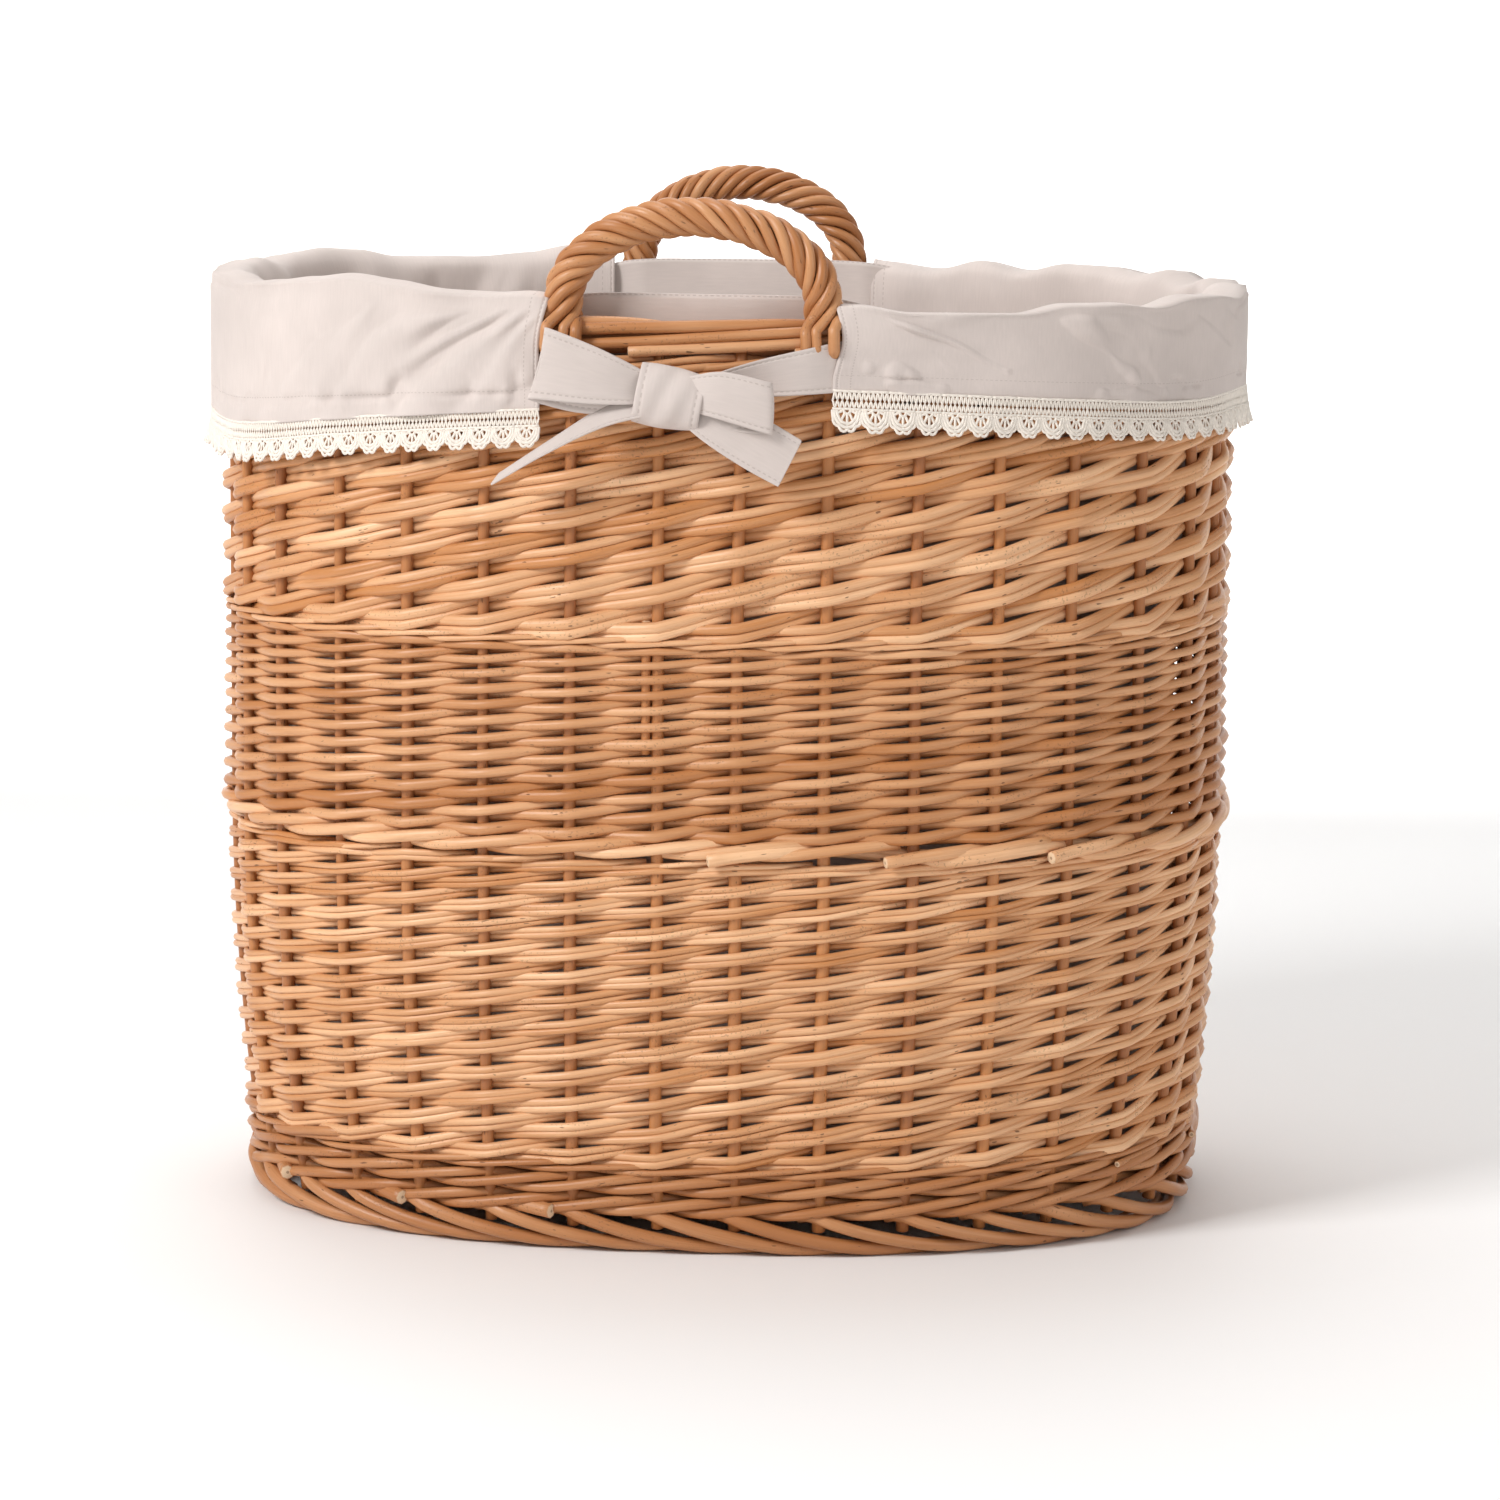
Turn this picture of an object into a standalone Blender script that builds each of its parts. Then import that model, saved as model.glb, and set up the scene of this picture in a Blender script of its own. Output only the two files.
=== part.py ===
"""An oval willow laundry basket with a lift-out cotton liner.

The basket stands on its foot border, the origin is on the floor in the middle of the oval, +X is
along the wide side and -Y is the front. Upright stakes run through rings of weaving, waling and
border. The liner hangs over the rim in two cuffs, tied together under each handle.
"""

import math

import bmesh
import bpy
from mathutils import Vector

# Driving dimensions, in metres
TOP_WIDTH = 0.522  # outside of the woven wall at the rim, along X
TOP_DEPTH = 0.366  # the same along Y
OVAL_POWER = 2.4  # 2 is an ellipse, and more is squarer
FOOT_INSET = 0.0112  # how far the wall draws in at the foot, on every side
RIM_HEIGHT = 0.467
WALL = 0.0145  # thickness of the weaving
FIT_GAP = 0.0003  # between neighbours that touch

STAKE_COUNT = 34
STAKE_RADIUS = 0.0031

FOOT_BORDER_HEIGHT = 0.0165
BOTTOM_WALE_HEIGHT = 0.0305
LOWER_WEAVE_HEIGHT = 0.149
MIDDLE_WALE_HEIGHT = 0.0165
MIDDLE_WEAVE_HEIGHT = 0.090
UPPER_WALE_HEIGHT = 0.0085
TOP_BORDER_HEIGHT = 0.030
BORDER_STAND = 0.001  # how far the two borders stand out from the wall
STAKE_POCKET = 0.012  # how deep the stakes run into the top border

BASE_THICKNESS = 0.012
LONG_STICKS = 3
LONG_STICK_SPACING = 0.024
LONG_STICK_WIDTH = 0.008
LONG_STICK_THICKNESS = 0.005
CROSS_STICKS = 6
CROSS_STICK_SPACING = 0.056
CROSS_STICK_WIDTH = 0.010
CROSS_STICK_THICKNESS = 0.008
STICK_SHORT = 0.001  # between a stick's end and the wall

HANDLE_SPAN = 0.120  # between the middles of a handle's legs
HANDLE_RISE = 0.0465  # from the rim to the middle of the rope at its crown
HANDLE_UPRIGHT = 0.0085  # how far each leg runs straight up before it arches
HANDLE_STEPS = 6
HANDLE_INWARD = 0.0015  # how far the rope stands in from the middle of the border
ROPE_RADIUS = 0.0105
BOW_ROD_RADIUS = 0.0035  # the bare end of the handle's core, pushed down into the wall
BOW_ROD_DEPTH = 0.095  # below the rim
BOW_ROD_BESIDE_STAKE = 0.008

CLOTH = 0.002
CLOTH_GAP = 0.005  # between the wall and the bag
CUFF_STAND = 0.0025  # between the wall and the inside of a cuff
CUFF_CLOTH = 0.0025
CUFF_DROP = 0.048  # from the rim to the hem
LACE_DROP = 0.021
BAG_BELOW_RIM = 0.010
CUFF_CLEARANCE = 0.00225  # between a cuff's end and the rope's leg
BINDING_ABOVE_RIM = 0.002
STRAP_WIDTH = 0.025
STRAP_BELOW_RIM = 0.0165
STRAP_STAND = 0.0055  # between the wall and a strap, which passes the rope as the liner lifts
STRAP_MEETS_KNOT = 0.0105
STRAP_SHORT = 0.001  # between a strap's end and its cuff
SQUARE_END = 0.004  # how far each end of a cuff runs straight along X
KNOT_SIZE = (0.020, 0.012, 0.026)
KNOT_OFFSET = -0.012
KNOT_BELOW_RIM = 0.036
BOW_THICKNESS = 0.006
LEAF_STEP = 0.0006  # how much thinner each leaf of the bow is than the one before
# Outlines of the bow's leaves, seen from outside and from the knot
LOOP_LEFT = ((-0.008, 0.008), (-0.045, 0.022), (-0.062, 0.024), (-0.066, -0.002), (-0.04, -0.006), (-0.008, -0.007))
LOOP_RIGHT = ((0.008, 0.008), (0.046, 0.006), (0.047, -0.02), (0.02, -0.016), (0.008, -0.006))
TAIL_LEFT = ((-0.004, -0.002), (-0.035, -0.014), (-0.066, -0.03), (-0.086, -0.046), (-0.082, -0.036), (-0.05, -0.012))
TAIL_RIGHT = ((0.002, 0.004), (0.03, -0.012), (0.062, -0.026), (0.052, -0.044), (0.026, -0.03), (0.002, -0.012))

# Worked out from the driving dimensions
FOOT_TOP = FOOT_BORDER_HEIGHT
BOTTOM_WALE_BASE = FOOT_TOP + FIT_GAP
LOWER_WEAVE_BASE = BOTTOM_WALE_BASE + BOTTOM_WALE_HEIGHT + FIT_GAP
MIDDLE_WALE_BASE = LOWER_WEAVE_BASE + LOWER_WEAVE_HEIGHT + FIT_GAP
MIDDLE_WEAVE_BASE = MIDDLE_WALE_BASE + MIDDLE_WALE_HEIGHT + FIT_GAP
UPPER_WALE_BASE = MIDDLE_WEAVE_BASE + MIDDLE_WEAVE_HEIGHT + FIT_GAP
UPPER_WEAVE_BASE = UPPER_WALE_BASE + UPPER_WALE_HEIGHT + FIT_GAP
TOP_BORDER_BASE = RIM_HEIGHT - TOP_BORDER_HEIGHT
BASE_TOP = BOTTOM_WALE_BASE + BASE_THICKNESS
BAG_FLOOR = BASE_TOP + CLOTH_GAP
BAG_TOP = RIM_HEIGHT - BAG_BELOW_RIM
BAG_INSET = WALL + CLOTH_GAP
CUFF_OPENING = HANDLE_SPAN + 2 * (ROPE_RADIUS + CUFF_CLEARANCE)  # between the two cuffs, under each handle

# One piece's colour, roughness and finish for each material
WILLOW = ("willow", (0.62, 0.36, 0.17), 0.45)
COTTON = ("cotton", (0.74, 0.67, 0.63), 0.9)
LACE = ("lace", (0.86, 0.82, 0.75), 0.9)


def clear_scene():
    for thing in list(bpy.data.objects):
        bpy.data.objects.remove(thing)


def collection(name, helper=False):
    made = bpy.data.collections.new(name)
    bpy.context.scene.collection.children.link(made)
    made.hide_render = helper
    return made


def material(name, colour, roughness):
    found = bpy.data.materials.get(name)
    if found:
        return found
    made = bpy.data.materials.new(name)
    made.use_nodes = True
    shader = made.node_tree.nodes["Principled BSDF"]
    shader.inputs["Base Color"].default_value = (*colour, 1)
    shader.inputs["Roughness"].default_value = roughness
    shader.inputs["Metallic"].default_value = 0
    return made


def helper(thing):
    """Keeps a cutter or a profile out of the model."""
    thing.hide_render = True
    thing.display_type = "WIRE"
    return thing


def wall_inset(height):
    """How far the wall's outside stands in from the rim's oval: it leans up to the middle wale."""
    return FOOT_INSET * max(0.0, 1 - height / MIDDLE_WALE_BASE)


def oval_corner(angle, inset=0.0):
    c, s = math.cos(angle), math.sin(angle)
    x = (TOP_WIDTH / 2 - inset) * math.copysign(abs(c) ** (2 / OVAL_POWER), c)
    y = (TOP_DEPTH / 2 - inset) * math.copysign(abs(s) ** (2 / OVAL_POWER), s)
    return Vector((x, y, 0))


def oval_table(steps=4000):
    """Points closely spaced round the rim's oval from its front middle, with the arc length to each."""
    points = [oval_corner(2 * math.pi * i / steps - math.pi / 2) for i in range(steps + 1)]
    lengths = [0.0]
    for before, after in zip(points, points[1:]):
        lengths.append(lengths[-1] + (after - before).length)
    return points, lengths


def oval_at(share, table):
    """The point at a share, 0 to 1, of the way round the oval, anticlockwise from the front middle."""
    points, lengths = table
    target = (share % 1) * lengths[-1]
    low, high = 0, len(lengths) - 1
    while high - low > 1:
        middle = (low + high) // 2
        low, high = (middle, high) if lengths[middle] <= target else (low, middle)
    part = (target - lengths[low]) / (lengths[high] - lengths[low])
    return points[low].lerp(points[high], part)


def stations():
    """Where the stakes stand on the rim's oval: [(point, outward direction)]."""
    table = oval_table()
    points = [oval_at((i + 0.5) / STAKE_COUNT, table) for i in range(STAKE_COUNT)]
    made = []
    for i, point in enumerate(points):
        before, after = points[i - 1], points[(i + 1) % STAKE_COUNT]
        along = (point - before).normalized() + (after - point).normalized()
        made.append((point, Vector((along.y, -along.x, 0)).normalized()))
    return made


def depth_at(x):
    """How far the stations' polygon reaches along Y at a place along X."""
    points = [point for point, _ in stations()]
    best = 0.0
    for before, after in zip(points, points[1:] + points[:1]):
        if (before.x - x) * (after.x - x) <= 0 and before.x != after.x:
            best = max(best, abs(before.lerp(after, (x - before.x) / (after.x - before.x)).y))
    return best


def side_route(side):
    """Round one side from the front opening to the back one, cut square across X at both ends.

    side is 1 for +X and -1 for -X.
    """
    half = CUFF_OPENING / 2
    inner = [point for point, _ in stations() if side * point.x > half + 2 * SQUARE_END]
    inner.sort(key=lambda p: math.atan2(p.y, side * p.x))
    depth = depth_at(side * half)
    ends = [Vector((side * (half + lead), -depth, 0)) for lead in (0.0, SQUARE_END)]
    return [*ends, *inner, *(Vector((p.x, -p.y, 0)) for p in reversed(ends))]


def face_route(low, high, face):
    """Between two places along X, in rising X for the front (face -1) and falling X for the back (face 1)."""
    near, far = low + SQUARE_END, high - SQUARE_END
    inner = [point.x for point, _ in stations() if near < point.x < far and point.y * face > 0]
    places = sorted([low, *inner, high], reverse=face > 0)
    return [Vector((x, face * depth_at(x), 0)) for x in places]


def poly_curve(name, points, cyclic=False):
    data = bpy.data.curves.new(name, "CURVE")
    data.dimensions = "3D"
    spline = data.splines.new("POLY")
    spline.points.add(len(points) - 1)
    for i, point in enumerate(points):
        spline.points[i].co = (*point, 1)
    spline.use_cyclic_u = cyclic
    data.use_fill_caps = not cyclic
    thing = bpy.data.objects.new(name, data)
    bpy.context.scene.collection.objects.link(thing)
    return thing


def as_mesh(curve, name, into):
    """The curve's evaluated tube as a mesh object with its caps welded; the curve is removed."""
    graph = bpy.context.evaluated_depsgraph_get()
    mesh = bpy.data.meshes.new_from_object(curve.evaluated_get(graph))
    shape = bmesh.new()
    shape.from_mesh(mesh)
    bmesh.ops.remove_doubles(shape, verts=shape.verts, dist=1e-5)
    bmesh.ops.recalc_face_normals(shape, faces=shape.faces)
    shape.to_mesh(mesh)
    shape.free()
    made = bpy.data.objects.new(name, mesh)
    made.matrix_world = curve.matrix_world
    into.objects.link(made)
    bpy.data.objects.remove(curve)
    return made


def swept(name, route, section, into, finish, cyclic=False):
    """A section of (outward, height) points carried along a route round the oval."""
    profile = poly_curve(name + "_section", [(out, height, 0) for out, height in section], True)
    profile.data.dimensions = "2D"
    profile.data.fill_mode = "NONE"
    path = poly_curve(name + "_path", route, cyclic)
    path.data.twist_mode = "Z_UP"
    path.data.bevel_mode = "OBJECT"
    path.data.bevel_object = profile
    made = as_mesh(path, name, into)
    bpy.data.objects.remove(profile)
    made.data.materials.append(material(*finish))
    return made


def ring(name, base, height, into, stand=0.0):
    """A slice of the wall, standing out from it by a little on the outside."""
    low, high = -wall_inset(base), -wall_inset(base + height)
    section = [(stand + low, base), (stand + high, base + height), (high - WALL, base + height), (low - WALL, base)]
    return swept(name, [point for point, _ in stations()], section, into, WILLOW, True)


def stake_path(point, outward, foot, head):
    """A stake's middle line, in the middle of the wall, bent where the wall's outline bends."""
    made = []
    for z in (foot, MIDDLE_WALE_BASE, head):
        made.append(point - outward * (wall_inset(z) + WALL / 2) + Vector((0, 0, z)))
    return made


def rod(name, points, radius, into, resolution=1):
    curve = poly_curve(name + "_line", points)
    curve.data.bevel_depth = radius
    curve.data.bevel_resolution = resolution
    curve.data.twist_mode = "MINIMUM"
    made = as_mesh(curve, name, into)
    made.data.materials.append(material(*WILLOW))
    made.data.shade_smooth()
    made.data.set_sharp_from_angle(angle=math.radians(50))
    return made


def joined(name, things):
    """Several separate cutters as one object, so that one Boolean cuts them all."""
    shape = bmesh.new()
    for thing in things:
        shape.from_mesh(thing.data)
    mesh = bpy.data.meshes.new(name)
    shape.to_mesh(mesh)
    shape.free()
    into = things[0].users_collection[0]
    made = bpy.data.objects.new(name, mesh)
    into.objects.link(made)
    for thing in things:
        bpy.data.objects.remove(thing)
    return helper(made)


def boolean(target, other, operation="DIFFERENCE"):
    modifier = target.modifiers.new(other.name, "BOOLEAN")
    modifier.operation = operation
    modifier.object = other
    modifier.solver = "EXACT"


def handle_depth():
    return (TOP_DEPTH - WALL) / 2 - HANDLE_INWARD


def bow_rod_place(face, side):
    """Where a handle's bare core goes down the wall: under the rope's leg, clear of the nearest stake."""
    leg = HANDLE_SPAN / 2
    stake_x = min((p.x for p, _ in stations() if p.y < 0), key=lambda x: abs(x - leg))
    away = math.copysign(max(abs(leg - stake_x), BOW_ROD_BESIDE_STAKE), leg - stake_x)
    return Vector((side * (stake_x + away), face * handle_depth(), RIM_HEIGHT))


def bow_rods(name, face, below, above, radius, into):
    made = []
    for side in (-1, 1):
        place = bow_rod_place(face, side)
        ends = [place - Vector((0, 0, below)), place + Vector((0, 0, above))]
        made.append(rod(f"{name}_{side}", ends, radius, into, resolution=2))
    return made


def make_handle(name, face, into, cutters):
    """A twisted rope arched over the rim, and its two bare ends down in the wall: face is -1 for the front."""
    y = face * handle_depth()
    half = [Vector((HANDLE_SPAN / 2, y, RIM_HEIGHT + FIT_GAP))]
    for i in range(HANDLE_STEPS):
        angle = math.pi / 2 * i / HANDLE_STEPS
        rise = HANDLE_UPRIGHT + (HANDLE_RISE - HANDLE_UPRIGHT) * math.sin(angle)
        half.append(Vector((HANDLE_SPAN / 2 * math.cos(angle), y, RIM_HEIGHT + rise)))
    crown = [Vector((0, y, RIM_HEIGHT + HANDLE_RISE))]
    mirrored = [Vector((-p.x, p.y, p.z)) for p in reversed(half)]
    rope = rod(name, half + crown + mirrored, ROPE_RADIUS, into, resolution=2)
    for end in bow_rods(name, face, BOW_ROD_DEPTH, HANDLE_UPRIGHT, BOW_ROD_RADIUS, cutters):
        boolean(rope, helper(end), "UNION")


def make_wall(into, cutters):
    """The foot, the rings of weaving and the top border, with a hole for each stake and bow rod."""
    ring("foot_border", 0.0, FOOT_BORDER_HEIGHT, into, BORDER_STAND)
    upper_height = TOP_BORDER_BASE - FIT_GAP - UPPER_WEAVE_BASE
    layers = [
        ring("bottom_wale", BOTTOM_WALE_BASE, BOTTOM_WALE_HEIGHT, into, BORDER_STAND),
        ring("lower_weave", LOWER_WEAVE_BASE, LOWER_WEAVE_HEIGHT, into),
        ring("middle_wale", MIDDLE_WALE_BASE, MIDDLE_WALE_HEIGHT, into, BORDER_STAND),
        ring("middle_weave", MIDDLE_WEAVE_BASE, MIDDLE_WEAVE_HEIGHT, into),
        ring("upper_wale", UPPER_WALE_BASE, UPPER_WALE_HEIGHT, into, BORDER_STAND),
        ring("upper_weave", UPPER_WEAVE_BASE, upper_height, into),
        ring("top_border", TOP_BORDER_BASE, TOP_BORDER_HEIGHT, into, BORDER_STAND),
    ]
    holes = []
    for i, (point, outward) in enumerate(stations()):
        head = TOP_BORDER_BASE + STAKE_POCKET + FIT_GAP
        path = stake_path(point, outward, FOOT_TOP - 0.002, head)
        holes.append(rod(f"stake_hole_{i}", path, STAKE_RADIUS + FIT_GAP, cutters))
    stake_holes = joined("stake_holes", holes)
    holes = []
    for name, face in (("front_hole", -1), ("back_hole", 1)):
        holes += bow_rods(name, face, BOW_ROD_DEPTH + FIT_GAP, 0.002, BOW_ROD_RADIUS + FIT_GAP, cutters)
    bow_rod_holes = joined("bow_rod_holes", holes)
    for layer in layers:
        boolean(layer, stake_holes)
    for layer in layers[-2:]:
        boolean(layer, bow_rod_holes)


def make_stakes(into):
    for i, (point, outward) in enumerate(stations()):
        path = stake_path(point, outward, FOOT_TOP + FIT_GAP, TOP_BORDER_BASE + STAKE_POCKET)
        rod(f"stake_{i + 1:02d}", path, STAKE_RADIUS, into)


def box(name, size, middle, into, finish=WILLOW):
    shape = bmesh.new()
    bmesh.ops.create_cube(shape, size=1)
    bmesh.ops.scale(shape, vec=size, verts=shape.verts)
    mesh = bpy.data.meshes.new(name)
    shape.to_mesh(mesh)
    shape.free()
    made = bpy.data.objects.new(name, mesh)
    made.location = middle
    into.objects.link(made)
    mesh.materials.append(material(*finish))
    return made


def base_oval(inset):
    """The base's outline, at the stations, inside the bottom wale."""
    made = []
    for point, outward in stations():
        made.append(point - outward * (wall_inset(BOTTOM_WALE_BASE) + WALL + inset))
    return made


def reach_across(outline, x):
    """Half the outline's depth at a place along X."""
    best = 0.0
    for before, after in zip(outline, outline[1:] + outline[:1]):
        if (before.x - x) * (after.x - x) <= 0 and before.x != after.x:
            part = (x - before.x) / (after.x - before.x)
            best = max(best, abs(before.lerp(after, part).y))
    return best


def reach_along(outline, y):
    """Half the outline's width at a place along Y."""
    turned = [Vector((p.y, p.x, 0)) for p in outline]
    return reach_across(turned, y)


def stick_boxes(outline, grow, past, into):
    """The base's sticks as boxes: long ones threaded through the split cross ones."""
    z = BOTTOM_WALE_BASE + BASE_THICKNESS / 2
    made = []
    for i in range(LONG_STICKS):
        y = (i - (LONG_STICKS - 1) / 2) * LONG_STICK_SPACING
        length = 2 * (reach_along(outline, abs(y) + LONG_STICK_WIDTH / 2) + past)
        size = (length, LONG_STICK_WIDTH + 2 * grow, LONG_STICK_THICKNESS + 2 * grow)
        made.append(box(f"long_stick_{i}", size, (0, y, z), into))
    for i in range(CROSS_STICKS):
        x = (i - (CROSS_STICKS - 1) / 2) * CROSS_STICK_SPACING
        length = 2 * (reach_across(outline, abs(x) + CROSS_STICK_WIDTH / 2) + past)
        size = (CROSS_STICK_WIDTH + 2 * grow, length, CROSS_STICK_THICKNESS + 2 * grow)
        made.append(box(f"cross_stick_{i}", size, (x, 0, z), into))
    return made


def union_of(name, things, into):
    """Boxes made one body."""
    first, *others = things
    first.name = name
    for other in others:
        helper(other)
        boolean(first, other, "UNION")
    for place in list(first.users_collection):
        place.objects.unlink(first)
    into.objects.link(first)
    return first


def flat_plate(name, outline, thickness, middle, turn, into):
    """A flat outline with a thickness, turned and placed, as a mesh."""
    data = bpy.data.curves.new(name, "CURVE")
    data.dimensions = "2D"
    data.fill_mode = "BOTH"
    data.extrude = thickness / 2
    spline = data.splines.new("POLY")
    spline.points.add(len(outline) - 1)
    for point, (x, y) in zip(spline.points, outline):
        point.co = (x, y, 0, 1)
    spline.use_cyclic_u = True
    flat = bpy.data.objects.new(name + "_outline", data)
    flat.rotation_euler = turn
    flat.location = middle
    bpy.context.scene.collection.objects.link(flat)
    bpy.context.view_layer.update()
    return as_mesh(flat, name, into)


def make_base(into, cutters):
    """An oval of weaving with its sticks let into it: the cross sticks are split, and the long ones run through."""
    outline = base_oval(2 * FIT_GAP)
    middle = (0, 0, BOTTOM_WALE_BASE + BASE_THICKNESS / 2)
    flat = [(point.x, point.y) for point in outline]
    weave = flat_plate("base_weave", flat, BASE_THICKNESS, middle, (0, 0, 0), into)
    weave.data.materials.append(material(*WILLOW))
    union_of("base_sticks", stick_boxes(outline, 0.0, -STICK_SHORT, cutters), into)
    channels = union_of("stick_channels", stick_boxes(outline, FIT_GAP, STICK_SHORT, cutters), cutters)
    boolean(weave, helper(channels))


def make_bag(into):
    """The bag inside the basket: an oval floor and wall with a wall thickness, open at the top."""
    shape = bmesh.new()
    levels = [BAG_FLOOR, MIDDLE_WALE_BASE, BAG_TOP]
    loops = []
    for z in levels:
        loop = []
        for point, outward in stations():
            place = point - outward * (wall_inset(z) + BAG_INSET)
            loop.append(shape.verts.new((place.x, place.y, z)))
        loops.append(loop)
    shape.faces.new(list(reversed(loops[0])))
    for low, high in zip(loops, loops[1:]):
        for i in range(STAKE_COUNT):
            j = (i + 1) % STAKE_COUNT
            shape.faces.new((low[i], low[j], high[j], high[i]))
    mesh = bpy.data.meshes.new("liner_bag")
    shape.to_mesh(mesh)
    shape.free()
    made = bpy.data.objects.new("liner_bag", mesh)
    into.objects.link(made)
    wall = made.modifiers.new("cloth", "SOLIDIFY")
    wall.thickness = CLOTH
    wall.offset = -1
    made.data.materials.append(material(*COTTON))


def cuff_section():
    """A cuff's outline: down inside the rim to the bag, over the border, and down outside to the hem."""
    outer = CUFF_STAND + CUFF_CLOTH
    crown = RIM_HEIGHT + CUFF_CLOTH + 0.004
    under = RIM_HEIGHT + 0.004
    inner_face = -BAG_INSET - CLOTH
    hem = RIM_HEIGHT - CUFF_DROP
    foot = BAG_TOP + FIT_GAP
    return [
        (outer, hem),
        (outer, RIM_HEIGHT + 0.002),
        (outer - 0.0035, crown),
        (inner_face + 0.0035, crown),
        (inner_face, RIM_HEIGHT + 0.003),
        (inner_face, foot),
        (-BAG_INSET, foot),
        (-BAG_INSET, RIM_HEIGHT + 0.002),
        (-BAG_INSET + 0.0025, under),
        (CUFF_STAND - 0.002, under),
        (CUFF_STAND, RIM_HEIGHT + 0.001),
        (CUFF_STAND, hem),
    ]


def make_cuffs(into):
    hem = RIM_HEIGHT - CUFF_DROP - FIT_GAP
    inner, outer = CUFF_STAND, CUFF_STAND + CLOTH
    lace = [(outer + 0.002, hem - LACE_DROP), (outer, hem), (inner, hem), (inner + 0.002, hem - LACE_DROP)]
    for name, side in (("left", -1), ("right", 1)):
        route = side_route(side)
        if side < 0:
            route = list(reversed(route))
        swept(f"liner_cuff_{name}", route, cuff_section(), into, COTTON)
        swept(f"lace_trim_{name}", route, lace, into, LACE)


def make_ties(into, cutters):
    """The stitched edge inside each handle, and the two straps and the bow outside it."""
    inner_face = -BAG_INSET - CLOTH
    low, high = BAG_TOP + FIT_GAP, RIM_HEIGHT + BINDING_ABOVE_RIM
    binding = [(-BAG_INSET, low), (-BAG_INSET, high), (inner_face, high), (inner_face, low)]
    strap_top = RIM_HEIGHT - STRAP_BELOW_RIM
    strap_out = STRAP_STAND + CLOTH
    strap = [
        (strap_out, strap_top - STRAP_WIDTH),
        (strap_out, strap_top),
        (STRAP_STAND, strap_top),
        (STRAP_STAND, strap_top - STRAP_WIDTH),
    ]
    half = CUFF_OPENING / 2 - FIT_GAP
    for name, face in (("front", -1), ("back", 1)):
        swept(f"edge_binding_{name}", face_route(-half, half, face), binding, into, COTTON)
        knot = -face * KNOT_OFFSET
        reach = half - STRAP_SHORT
        for side_name, side in (("left", -1), ("right", 1)):
            ends = sorted((side * reach, knot + side * STRAP_MEETS_KNOT))
            swept(f"{name}_strap_{side_name}", face_route(*ends, face), strap, into, COTTON)
        make_bow(f"{name}_bow", face, into, cutters)


def make_bow(name, face, into, cutters):
    """A knot with two loops and two tails joined on. The outlines are seen from outside, from the knot."""
    knot_x = -face * KNOT_OFFSET
    knot_z = RIM_HEIGHT - KNOT_BELOW_RIM
    back = TOP_DEPTH / 2 + STRAP_STAND + CLOTH + FIT_GAP
    leaves = [LOOP_LEFT, LOOP_RIGHT, TAIL_LEFT, TAIL_RIGHT]
    knot = box(name, KNOT_SIZE, (knot_x, face * (back + KNOT_SIZE[1] / 2), knot_z), into, COTTON)
    turn = (math.pi / 2, 0, math.pi if face > 0 else 0)
    for i, outline in enumerate(leaves):
        thickness = BOW_THICKNESS - i * LEAF_STEP
        middle = (knot_x, face * (back + LEAF_STEP + BOW_THICKNESS / 2 + i * LEAF_STEP / 2), knot_z)
        leaf = flat_plate(f"{name}_leaf_{i}", outline, thickness, middle, turn, cutters)
        boolean(knot, helper(leaf), "UNION")


def main():
    clear_scene()
    basket = collection("laundry_basket")
    cutters = collection("cutters", helper=True)
    make_wall(basket, cutters)
    make_stakes(basket)
    make_base(basket, cutters)
    make_handle("handle_front", -1, basket, cutters)
    make_handle("handle_back", 1, basket, cutters)
    make_bag(basket)
    make_cuffs(basket)
    make_ties(basket, cutters)


main()
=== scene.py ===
"""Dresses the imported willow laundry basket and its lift-out cotton liner.

Every rod of the wickerwork is a tapered tube carried along a path on the basket's oval wall. The cloth is
made from sheets worked out on a grid, and the lace from threads. Lengths are in metres. A place on the wall
is (s, z, out): s counts stakes anticlockwise from the front middle, z is the height, and out is how far it
stands outwards from the middle of the wall's thickness.
"""

import math

import bpy
import numpy as np
from bpy.props import FloatProperty, FloatVectorProperty, IntProperty, PointerProperty
from bpy.types import Operator, Panel, PropertyGroup
from mathutils import Matrix, Vector


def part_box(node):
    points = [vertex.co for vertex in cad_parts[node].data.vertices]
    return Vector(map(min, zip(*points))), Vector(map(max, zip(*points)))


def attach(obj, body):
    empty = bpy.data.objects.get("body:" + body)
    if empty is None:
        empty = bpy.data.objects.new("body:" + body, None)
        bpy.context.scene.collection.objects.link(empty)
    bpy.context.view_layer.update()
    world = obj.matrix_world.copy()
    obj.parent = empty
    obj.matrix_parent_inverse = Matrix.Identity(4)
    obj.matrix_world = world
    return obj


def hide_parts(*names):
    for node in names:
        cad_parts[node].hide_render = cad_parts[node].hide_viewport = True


bl_info = {
    "name": "Willow laundry basket",
    "version": (1, 0, 0),
    "blender": (4, 5, 0),
    "location": "View3D > Sidebar > Basket",
    "description": "Weaves a lined oval laundry basket around its packed model",
    "category": "Object",
}

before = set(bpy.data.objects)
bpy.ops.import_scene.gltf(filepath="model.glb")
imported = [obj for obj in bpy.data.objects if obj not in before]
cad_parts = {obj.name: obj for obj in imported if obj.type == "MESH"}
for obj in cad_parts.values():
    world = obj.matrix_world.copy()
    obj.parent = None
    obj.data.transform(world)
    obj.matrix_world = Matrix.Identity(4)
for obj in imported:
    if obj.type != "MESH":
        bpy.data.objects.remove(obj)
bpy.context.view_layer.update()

TAU = 2 * math.pi
MM = 0.001

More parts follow.
